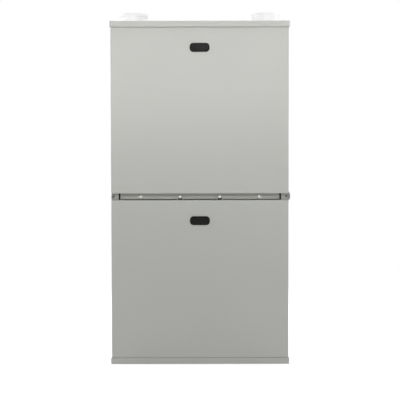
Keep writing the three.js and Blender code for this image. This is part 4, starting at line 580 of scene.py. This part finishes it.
def door_stops():
    """Thin steps of the side panels' edges between the two doors."""
    bm = bmesh.new()
    low, high = LOWER_DOOR_TOP + 1.2 * MM, GAP_Z + 7.4 * MM
    front, back = DOOR_FACE + 2.5 * MM, FLANGE_Y + 0.1 * MM
    for side in (-1, 1):
        x = side * (CASE_HALF - SHEET / 2)
        block(bm, (x - SHEET / 2, front, low), (x + SHEET / 2, back, high), 0.3 * MM)
    piece("door_stops", bm, "cabinet_paint")


def gap_seal():
    """Black foam on the mid rail as painted shade, seen over the lower door's top edge and at both ends of
    the lip.
    """
    bm = bmesh.new()
    front, back = FLANGE_Y + 5.4 * MM, FLANGE_Y + 7.2 * MM
    low, high = LOWER_DOOR_TOP + 0.3 * MM, LOWER_DOOR_TOP + 1.7 * MM
    # black strips that paint the shade in the gap between the doors and at the lip's ends
    reach, clip_room = 200 * MM, 8 * MM
    for left, right in (
        (-reach, -CLIP_X - clip_room), (clip_room - CLIP_X, CLIP_X - clip_room), (CLIP_X + clip_room, reach),
    ):
        block(bm, (left, front, low), (right, back, high), 0.3 * MM)
    end_x, end_half, end_top = 203 * MM, 2.1 * MM, GAP_Z + 8.4 * MM
    for side in (-1, 1):
        x = side * end_x
        block(bm, (x - end_half, front, low), (x + end_half, back, end_top), 0.3 * MM)
    piece("gap_seal", bm, "black_rubber")


def vent_clamp():
    """Soft band round the left coupling's foot, drawn tight by a worm screw at the front right."""
    centre = middle("vent_coupling")
    foot = Vector((centre.x, centre.y, CAP_TOP))
    inner, outer, bulge, corner = 35.9 * MM, 37.0 * MM, 37.4 * MM, 0.8 * MM
    low, high = 4.5 * MM, 11.5 * MM
    band = bmesh.new()
    lathe(band, [
        (inner, low), (outer, low), (bulge, low + corner), (bulge, high - corner), (outer, high),
        (inner, high), (inner, low),
    ], 48, Matrix.Translation(foot))
    piece("vent_clamp_band", band, "white_pvc")
    bm = bmesh.new()
    saddle_out, saddle_up, angle = 41.6 * MM, 7.8 * MM, math.radians(-18)
    out = Vector((math.cos(angle), math.sin(angle), 0))
    along = Vector((-out.y, out.x, 0))
    axes = Matrix((out, along, Vector((0, 0, 1)))).transposed().to_4x4()
    saddle = foot + out * saddle_out + Vector((0, 0, saddle_up))
    block(
        bm, (-4.2 * MM, -7 * MM, -3.2 * MM), (3.8 * MM, 7 * MM, 3.2 * MM), 1.2 * MM,
        Matrix.Translation(saddle) @ axes,
    )
    hex_screw(bm, saddle - along * 6.9 * MM, -along, 3.2 * MM, 4.0 * MM)
    piece("vent_clamp_screw", bm, "zinc_plated_steel")


def knockouts():
    """Half-punched blanks in the side panels for the gas line and the wiring."""
    gas, wiring = 16.5 * MM, 11.0 * MM
    for side, name in ((-1, "left_knockouts"), (1, "right_knockouts")):
        bm = bmesh.new()
        for y, z, r in ((-0.293, 0.700, gas), (-0.225, 0.47, wiring), (-0.3, 0.56, wiring)):
            lathe(bm, [
                (r + 1.6 * MM, 0), (r + 1.2 * MM, 0.25 * MM), (r + 0.2 * MM, 0.3 * MM), (r, -0.2 * MM),
                (r - 0.5 * MM, -0.2 * MM), (r - 0.8 * MM, 0.55 * MM), (r - 1.6 * MM, 0.7 * MM), (0, 0.7 * MM),
            ], 40, basis((side * SIDE_X, y, z), (side, 0, 0)))
        piece(name, bm, "cabinet_paint")


# ------------------------------------------------------------ doors, seen from behind
def door_liner(name, body, low, high):
    """Foil faced lining on the inside of a door, held by washers."""
    bm = bmesh.new()
    half, front, back = 192 * MM, DOOR_FACE + DOOR_SKIN, DOOR_FACE + 4.5 * MM
    block(bm, (-half, front, low), (half, back, high), 1.2 * MM)
    inset = 30 * MM
    for x in (-0.14, -0.05, 0.05, 0.14):
        for z in (low + inset, high - inset):
            lathe(bm, [
                (9 * MM, 0), (9 * MM, 0.5 * MM), (2 * MM, 0.9 * MM), (1.2 * MM, 2 * MM), (0, 2 * MM),
            ], 18, basis((x, back - 0.1 * MM, z), (0, 1, 0)))
    piece(name, bm, "foil", body)


def door_foam(name, body, low, high):
    """Foam strips along both sides of the inside of a door."""
    bm = bmesh.new()
    middle_x, half = 209.5 * MM, 4.5 * MM
    front, back = DOOR_FACE + DOOR_SKIN, DOOR_FACE + 6.5 * MM
    for side in (-1, 1):
        x = side * middle_x
        block(bm, (x - half, front, low), (x + half, back, high), 1.5 * MM)
    piece(name, bm, "black_rubber", body)


# ------------------------------------------------------------ blower compartment
def blower_screws():
    """Screws round both sides of the blower, level with the edges of its hangers, and in the deck."""
    bm = bmesh.new()
    hanger_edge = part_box("blower_side_right")[1].x
    centre_y, centre_z = middle("blower_side_right").y, 200 * MM
    reach_y, reach_z = 163 * MM, 150 * MM
    for side in (-1, 1):
        for angle in turns_round(8):
            y, z = centre_y + reach_y * math.cos(angle), centre_z + reach_z * math.sin(angle)
            hex_screw(bm, (side * hanger_edge, y, z), (side, 0, 0), *BLOWER_SCREW)
    deck_x = 160 * MM
    for x in (-deck_x, deck_x):
        for y in (-0.3, -0.1, 0.15, 0.33):
            hex_screw(bm, (x, y, DECK_TOP), (0, 0, 1), *SHEET_SCREW)
    piece("blower_screws", bm, "zinc_plated_steel")


# ------------------------------------------------------------ vestibule: burners, inducer, controls
def vestibule_screws():
    """Screws in the vestibule and control panels, round the inducer's motor and by the burner tray."""
    bm = bmesh.new()
    edge_x, top_row, face = 196 * MM, 838 * MM, VESTIBULE_Y - 0.1 * MM
    places = [(x, z) for x in (-edge_x, edge_x) for z in (0.43, 0.55, 0.67, 0.79)]
    places += [(x, top_row) for x in (-0.128, -0.02, 0.09, 0.148)]
    for x, z in places:
        hex_screw(bm, (x, face, z), (0, -1, 0), *SHEET_SCREW)
    for x, z in ((-0.107, 0.272), (0.048, 0.272), (0.048, 0.392), (0.107, 0.39)):
        pan_screw(bm, (x, PANEL_Y, z), (0, -1, 0), *PANEL_SCREW)
    axis = middle("inducer_wheel")
    circle = 53 * MM
    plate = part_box("inducer_motor")[1].y - 2.5 * MM
    for angle in turns_round(3, 90):
        x, z = axis.x + circle * math.cos(angle), axis.z + circle * math.sin(angle)
        hex_screw(bm, (x, plate, z), (0, -1, 0), *MOTOR_SCREW)
    tray_x = 132 * MM
    for x in (-tray_x, tray_x):
        for y in (-0.31, -0.19):
            hex_screw(bm, (x, y, TRAY_UNDER), (0, 0, -1), *TRAY_SCREW)
    piece("vestibule_screws", bm, "zinc_plated_steel")


def collector_screws():
    """Screws along the top and bottom of the collector box."""
    bm = bmesh.new()
    top_row, bottom_row = 571 * MM, 455 * MM
    for row, z in (((-0.06, -0.01, 0.105), top_row), ((-0.19, -0.03, 0.012), bottom_row)):
        for x in row:
            hex_screw(bm, (x, COLLECTOR_Y, z), (0, -1, 0), *COLLECTOR_SCREW)
    piece("collector_screws", bm, "zinc_plated_steel")


def pressure_hose():
    """Silicone hose from the collector's port up to the pressure switch, with a clip at each end."""
    bm = bmesh.new()
    path = curve_through([
        (0.040, -0.1788, 0.5735), (0.040, -0.1795, 0.5805), (0.041, -0.1880, 0.5910),
        (0.0405, -0.1850, 0.6015), (0.040, -0.1783, 0.6085),
    ], 7)
    radius, inner, outer, width, sides = 3.6 * MM, 3.7 * MM, 4.3 * MM, 1.3 * MM, 14
    sweep(bm, path, radius, sides)
    for spot, ahead in ((path[2], path[3] - path[2]), (path[-3], path[-2] - path[-3])):
        lathe(bm, [(inner, 0), (outer, 0), (outer, width), (inner, width)], sides, basis(spot, ahead))
    piece("pressure_hose", bm, "silicone")


def coil_fins():
    """The close fins of the secondary coil, between the few that the solid has."""
    bm = bmesh.new()
    low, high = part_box("secondary_coil")
    count, sheet, inset = 150, 0.25 * MM, 0.4 * MM
    first, last = low.y + 7 * MM, high.y - 9 * MM
    for i in range(count + 1):
        y = first + i * (last - first) / count
        block(bm, (low.x + inset, y, low.z + inset), (high.x - inset, y + sheet, high.z - inset))
    piece("coil_fins", bm, "aluminised_steel")


def capacitor(bm, x, z, r, h):
    """A can standing on the board, with its crimped groove."""
    lathe(bm, [
        (0, 0), (r, 0), (r, h * 0.1), (r * 0.9, h * 0.14), (r, h * 0.2), (r, h * 0.96), (r * 0.9, h), (0, h),
    ], 20, basis((x, BOARD_Y, z), (0, -1, 0)))


def resistor(bm, metal, x, z):
    """A resistor lying over the board, with a bent lead at each end."""
    spot = Vector((x, BOARD_Y - 1.9 * MM, z))
    places = (-4, -3.4, -2.6, 2.6, 3.4, 4)
    widths = (0.9, 1.4, 1.1, 1.1, 1.4, 0.9)
    sweep(bm, [spot + Vector((t * MM, 0, 0)) for t in places], [width * MM for width in widths], 10)
    for end in (-1, 1):
        lead = [spot + Vector((end * out, down, 0)) * MM for out, down in ((3.9, 0), (5.4, 0.2), (5.8, 1.9))]
        sweep(metal, curve_through(lead, 4), 0.35 * MM, 6)


def board_parts():
    """Capacitors, resistors, pins and screw terminals on the control board."""
    cans = bmesh.new()
    for x, z, radius, height in (
        (-0.100, 0.331, 4.2, 11.0), (-0.088, 0.331, 3.2, 8.0), (-0.060, 0.345, 5.2, 13.0),
        (-0.012, 0.333, 3.2, 8.0), (0.012, 0.352, 4.2, 10.0),
    ):
        capacitor(cans, x, z, radius * MM, height * MM)
    resistors, metal = bmesh.new(), bmesh.new()
    for x, z in (
        (-0.078, 0.352), (-0.078, 0.358), (-0.078, 0.364), (-0.045, 0.328), (-0.034, 0.328), (0.02, 0.30),
    ):
        resistor(resistors, metal, x, z)
    first, pitch, top = -86.5 * MM, 9.2 * MM, BOARD_Y - 10.0 * MM
    for i in range(8):
        pan_screw(metal, (first + i * pitch, top, TERMINAL_Z), (0, -1, 0), *TERMINAL_SCREW)
    pin_x, pin_low, pin_pitch, pin_half, pin_width = 29.8 * MM, 333 * MM, 5.4 * MM, 0.4 * MM, 1.1 * MM
    pin_tip, pin_root = BOARD_Y - 14.0 * MM, BOARD_Y - 11.5 * MM
    for i in range(6):
        z = pin_low + i * pin_pitch
        block(metal, (pin_x - pin_half, pin_tip, z), (pin_x + pin_half, pin_root, z + pin_width))
    for x in (-0.105, 0.033):
        for z in (0.288, 0.380):
            pan_screw(metal, (x, BOARD_Y, z), (0, -1, 0), *BOARD_SCREW)
    piece("board_capacitors", cans, "black_plastic")
    piece("board_metal", metal, "zinc_plated_steel")
    piece("board_resistors", resistors, "ceramic")


def relay_covers():
    """Thin caps over the three relays on the board."""
    bm = bmesh.new()
    first, pitch, width, proud = -99 * MM, 26 * MM, 20 * MM, 0.15 * MM
    front, back = BOARD_Y - 16.3 * MM, BOARD_Y - 15.6 * MM
    low, high = 292.2 * MM, 318.2 * MM
    for i in range(3):
        x = first + i * pitch
        block(bm, (x - proud, front, low), (x + width + proud, back, high), 0.3 * MM)
    piece("relay_covers", bm, "black_plastic")


# ------------------------------------------------------------ wires
LOOM_ROUTE = (
    (0.0353, -0.1999, 0.3482), (0.057, -0.1999, 0.3492), (0.110, -0.226, 0.3662), (0.128, -0.230, 0.3845),
    (0.128, -0.230, 0.4155), (0.134, -0.236, 0.5339), (0.165, -0.298, 0.628), (0.165, -0.302, 0.668),
)
LOOM_COLOURS = ("black", "red", "white", "blue", "yellow", "brown")
LOOM_STEPS = 14
# name, colour and route of the leads that end in a push-on connector, from that end
LEADS = (
    ("igniter_lead_1", "white", (
        (-0.1265, -0.190, 0.771), (-0.150, -0.205, 0.742), (-0.150, -0.200, 0.70),
    )),
    ("igniter_lead_2", "white", (
        (-0.1265, -0.186, 0.771), (-0.154, -0.200, 0.745), (-0.153, -0.196, 0.70),
    )),
    ("sensor_lead", "yellow", (
        (0.1265, -0.186, 0.779), (0.150, -0.200, 0.750), (0.152, -0.205, 0.70),
    )),
    ("rollout_lead_1", "red", (
        (0.031, -0.194, 0.8175), (0.000, -0.205, 0.828), (-0.060, -0.200, 0.830), (-0.130, -0.192, 0.826),
        (-0.1475, -0.188, 0.800), (-0.1475, -0.188, 0.760), (-0.151, -0.196, 0.715), (-0.150, -0.200, 0.700),
    )),
    ("rollout_lead_2", "red", (
        (0.053, -0.194, 0.8175), (0.090, -0.205, 0.828), (0.145, -0.200, 0.826), (0.154, -0.190, 0.795),
        (0.1545, -0.190, 0.750), (0.1535, -0.203, 0.705),
    )),
    ("limit_lead_1", "black", (
        (-0.049, -0.194, 0.707), (-0.070, -0.204, 0.690), (-0.098, -0.192, 0.668), (-0.110, -0.186, 0.639),
    )),
    ("limit_lead_2", "black", (
        (-0.031, -0.194, 0.707), (-0.010, -0.204, 0.690), (0.004, -0.192, 0.640), (0.003, -0.186, 0.601),
    )),
)
LEAD_RADIUS = 1.3 * MM
CONNECTOR = Vector((3.4, 7, 1.6)) * MM  # half its size
# name, colour, radius and route of the other wires
WIRES = (
    ("left_trunk", "brown", 3.0 * MM, (
        (-0.150, -0.200, 0.700), (-0.151, -0.193, 0.66), (-0.120, -0.186, 0.640), (-0.060, -0.184, 0.628),
        (-0.020, -0.184, 0.612), (0.000, -0.186, 0.600), (0.060, -0.188, 0.594), (0.110, -0.200, 0.575),
        (0.128, -0.222, 0.545), (0.131, -0.232, 0.515),
    )),
    ("right_trunk", "brown", 2.4 * MM, (
        (0.152, -0.205, 0.700), (0.150, -0.206, 0.66), (0.143, -0.214, 0.61), (0.134, -0.226, 0.56),
        (0.1335, -0.236, 0.525),
    )),
    ("inducer_lead_1", "black", 1.5 * MM, (
        (-0.080, -0.290, 0.500), (-0.055, -0.288, 0.480), (-0.030, -0.26, 0.44), (0.000, -0.245, 0.425),
        (0.015, -0.243, 0.44), (0.105, -0.242, 0.45), (0.124, -0.238, 0.46),
    )),
    ("inducer_lead_2", "white", 1.5 * MM, (
        (-0.081, -0.287, 0.495), (-0.057, -0.285, 0.474), (-0.032, -0.257, 0.434), (-0.002, -0.246, 0.420),
        (0.012, -0.246, 0.436), (0.104, -0.246, 0.446), (0.124, -0.241, 0.455),
    )),
    ("pressure_lead_1", "brown", 1.3 * MM, (
        (0.058, -0.193, 0.640), (0.085, -0.205, 0.640), (0.142, -0.214, 0.62),
    )),
    ("pressure_lead_2", "brown", 1.3 * MM, (
        (0.058, -0.193, 0.652), (0.085, -0.205, 0.652), (0.144, -0.213, 0.632),
    )),
    ("blower_lead", "black", 4.0 * MM, (
        (-0.150, 0.02, 0.16), (-0.165, -0.02, 0.15), (-0.170, -0.12, 0.20), (-0.150, -0.17, 0.28),
        (-0.130, -0.205, 0.31), (-0.1005, -0.210, 0.305),
    )),
    ("transformer_lead_1", "yellow", 1.3 * MM, (
        (0.075, -0.232, 0.30), (0.068, -0.240, 0.32), (0.040, -0.222, 0.36), (0.0345, -0.2065, 0.357),
    )),
    ("transformer_lead_2", "red", 1.3 * MM, (
        (0.085, -0.232, 0.30), (0.078, -0.242, 0.325), (0.045, -0.226, 0.368), (0.0345, -0.2065, 0.3625),
    )),
    ("mains_lead_1", "black", 1.5 * MM, (
        (-0.1749, -0.250, 0.345), (-0.150, -0.252, 0.35), (-0.120, -0.235, 0.36),
        (-0.085, -0.207, TERMINAL_Z),
    )),
    ("mains_lead_2", "white", 1.5 * MM, (
        (-0.1749, -0.258, 0.335), (-0.150, -0.262, 0.345), (-0.112, -0.240, 0.358),
        (-0.0765, -0.207, TERMINAL_Z),
    )),
    ("door_switch_lead_1", "blue", 1.3 * MM, (
        (0.119, -0.302, 0.3885), (0.115, -0.285, 0.38), (0.09, -0.25, 0.385), (-0.02, -0.225, 0.3868),
        (-0.05, -0.207, TERMINAL_Z),
    )),
    ("door_switch_lead_2", "blue", 1.3 * MM, (
        (0.129, -0.302, 0.3885), (0.125, -0.28, 0.376), (0.09, -0.245, 0.380), (-0.01, -0.228, 0.3868),
        (-0.04, -0.207, TERMINAL_Z),
    )),
)


def wire(name, colour, radius, route):
    """One insulated wire along its route."""
    bm = bmesh.new()
    sweep(bm, curve_through(route, 8), radius, 8)
    piece(name, bm, f"wire_{colour}")


def strand(route, radius, offset, start, twist):
    """A wire that winds slowly round a route, at an offset from it, turning by the twist at each point."""
    bm = bmesh.new()
    path = []
    across = (route[1] - route[0]).orthogonal().normalized()
    for i, spot in enumerate(route):
        ahead = (route[min(i + 1, len(route) - 1)] - route[max(i - 1, 0)]).normalized()
        across = (across - ahead * across.dot(ahead)).normalized()
        angle = start + i * twist
        path.append(spot + offset * (across * math.cos(angle) + ahead.cross(across) * math.sin(angle)))
    sweep(bm, path, radius, 8)
    return bm


def loom():
    """Bundle of wires along the loom's route, in place of the plain loom."""
    route = curve_through(LOOM_ROUTE, LOOM_STEPS)
    radius, twist = 1.45 * MM, math.radians(7)
    for colour, start in zip(LOOM_COLOURS, turns_round(len(LOOM_COLOURS))):
        bm = strand(route, radius, 2 * radius, start, twist)
        piece(f"loom_wire_{colour}", bm, f"wire_{colour}")
    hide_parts("wiring_harness")


def loom_ties():
    """Cable ties round the loom, each with its head."""
    route = curve_through(LOOM_ROUTE, LOOM_STEPS)
    bm = bmesh.new()
    inner, outer, side, half = 4.3 * MM, 4.9 * MM, 1.1 * MM, 1.3 * MM
    for i in (8, 24, 50, 66, 82, 96):
        matrix = basis(route[i], route[i + 1] - route[i])
        lathe(bm, [
            (inner, -half), (outer, -side), (outer, side), (inner, half), (inner, -half),
        ], 20, matrix)
        block(bm, (4.2 * MM, -1.6 * MM, -1.7 * MM), (7.2 * MM, 1.6 * MM, 1.7 * MM), 0.4 * MM, matrix)
    piece("loom_ties", bm, "black_plastic")


def lead_connectors():
    """Push-on connectors at the leads' ends."""
    bm = bmesh.new()
    for _, _, route in LEADS:
        end = Vector(route[0])
        block(bm, end - CONNECTOR, end + CONNECTOR, 0.8 * MM)
    piece("lead_connectors", bm, "wire_clear")


case_screws()
coupling_screws()
flange_rivets()
door_stops()
gap_seal()
vent_clamp()
knockouts()
door_liner("upper_door_liner", "upper_door", 0.452, 0.768)
door_liner("lower_door_liner", "lower_door", 0.05, 0.33)
door_foam("upper_door_foam", "upper_door", 0.4335, 0.838)
door_foam("lower_door_foam", "lower_door", 0.021, 0.37)
blower_screws()
vestibule_screws()
collector_screws()
pressure_hose()
coil_fins()
board_parts()
relay_covers()
loom()
loom_ties()
for name, colour, route in LEADS:
    wire(name, colour, LEAD_RADIUS, route)
for name, colour, radius, route in WIRES:
    wire(name, colour, radius, route)
lead_connectors()


# ------------------------------------------------------------ studio
def seen(tree):
    """1 for what the camera sees, straight, mirrored or through glass, and 0 for the light on the object."""
    path = tree.nodes.new("ShaderNodeLightPath")
    value = path.outputs["Is Camera Ray"]
    for kind in ("Is Glossy Ray", "Is Transmission Ray"):
        larger = tree.nodes.new("ShaderNodeMath")
        larger.operation = "MAXIMUM"
        tree.links.new(value, larger.inputs[0])
        tree.links.new(path.outputs[kind], larger.inputs[1])
        value = larger.outputs["Value"]
    return value


def floor_look():
    """Pale floor that takes the shadow near the object and gives way to plain white further out."""
    g = Graph("floor_look")
    away = g.add("ShaderNodeVectorMath", operation="LENGTH")
    g.link(g.place, away.inputs[0])
    share = g.add("ShaderNodeMath", operation="MULTIPLY")
    g.link(g.remap(away.outputs["Value"], *FLOOR_FADE, 0.0, 1.0), share.inputs[0])
    g.link(seen(g.tree), share.inputs[1])
    shaded = g.add("ShaderNodeBsdfDiffuse")
    shaded.inputs["Color"].default_value = FLOOR_COLOUR
    lift = g.add("ShaderNodeEmission")
    camera_ray = g.add("ShaderNodeLightPath").outputs["Is Camera Ray"]
    g.link(g.remap(camera_ray, 0.0, 1.0, 0.0, FLOOR_LIFT), lift.inputs["Strength"])
    lifted = g.add("ShaderNodeAddShader")
    g.link(shaded.outputs["BSDF"], lifted.inputs[0])
    g.link(lift.outputs["Emission"], lifted.inputs[1])
    white = g.add("ShaderNodeEmission")
    white.inputs["Strength"].default_value = 1.0
    mixed = g.add("ShaderNodeMixShader")
    g.link(share.outputs["Value"], mixed.inputs[0])
    g.link(lifted.outputs["Shader"], mixed.inputs[1])
    g.link(white.outputs["Emission"], mixed.inputs[2])
    g.link(mixed.outputs["Shader"], g.output.inputs["Surface"])
    return g.material


def studio_floor():
    """A wide round floor just under the base."""
    bm = bmesh.new()
    lathe(bm, [(FLOOR_RADIUS, -FLOOR_DROP), (0, -FLOOR_DROP)], 48, Matrix.Identity(4))
    mesh = bpy.data.meshes.new("studio_floor")
    bm.to_mesh(mesh)
    bm.free()
    mesh.materials.append(floor_look())
    floor = bpy.data.objects.new("studio_floor", mesh)
    bpy.context.scene.collection.objects.link(floor)


def studio_world():
    """Soft light from all round, and plain white where the camera sees it."""
    world = bpy.data.worlds.new("studio")
    bpy.context.scene.world = world
    world.use_nodes = True
    tree = world.node_tree
    tree.nodes.clear()
    lit = tree.nodes.new("ShaderNodeBackground")
    lit.inputs["Color"].default_value = WORLD_COLOUR
    lit.inputs["Strength"].default_value = WORLD_LIGHT
    shown = tree.nodes.new("ShaderNodeBackground")
    shown.inputs["Color"].default_value = BACKDROP
    blend = tree.nodes.new("ShaderNodeMixShader")
    tree.links.new(seen(tree), blend.inputs[0])
    tree.links.new(lit.outputs["Background"], blend.inputs[1])
    tree.links.new(shown.outputs["Background"], blend.inputs[2])
    out = tree.nodes.new("ShaderNodeOutputWorld")
    tree.links.new(blend.outputs["Shader"], out.inputs["Surface"])


def studio_lamp(name, place, aim, width, height, power, beam, colour):
    """A rectangular lamp that the camera doesn't see, turned to what it aims at."""
    data = bpy.data.lights.new(name, "AREA")
    data.shape = "RECTANGLE"
    data.size = width
    data.size_y = height
    data.energy = power
    data.spread = math.radians(beam)
    data.color = colour
    lamp = bpy.data.objects.new(f"{name}_lamp", data)
    lamp.location = place
    lamp.rotation_euler = (Vector(aim) - Vector(place)).to_track_quat("-Z", "Y").to_euler()
    lamp.visible_camera = False
    bpy.context.scene.collection.objects.link(lamp)


def photo_camera():
    """The camera from which the photograph was taken."""
    data = bpy.data.cameras.new("photo_camera")
    data.lens = LENS
    data.sensor_width = SENSOR
    camera = bpy.data.objects.new("photo_camera", data)
    tilt = Matrix.Rotation(math.radians(90 - TILT_DOWN), 4, "X")
    roll = Matrix.Rotation(math.radians(ROLL), 4, "Z")
    camera.matrix_world = Matrix.Translation(EYE) @ tilt @ roll
    bpy.context.scene.collection.objects.link(camera)
    bpy.context.scene.camera = camera


studio_floor()
studio_world()
for name, settings in LAMPS.items():
    studio_lamp(name, *settings)
photo_camera()
bpy.context.scene.view_settings.view_transform = "Standard"
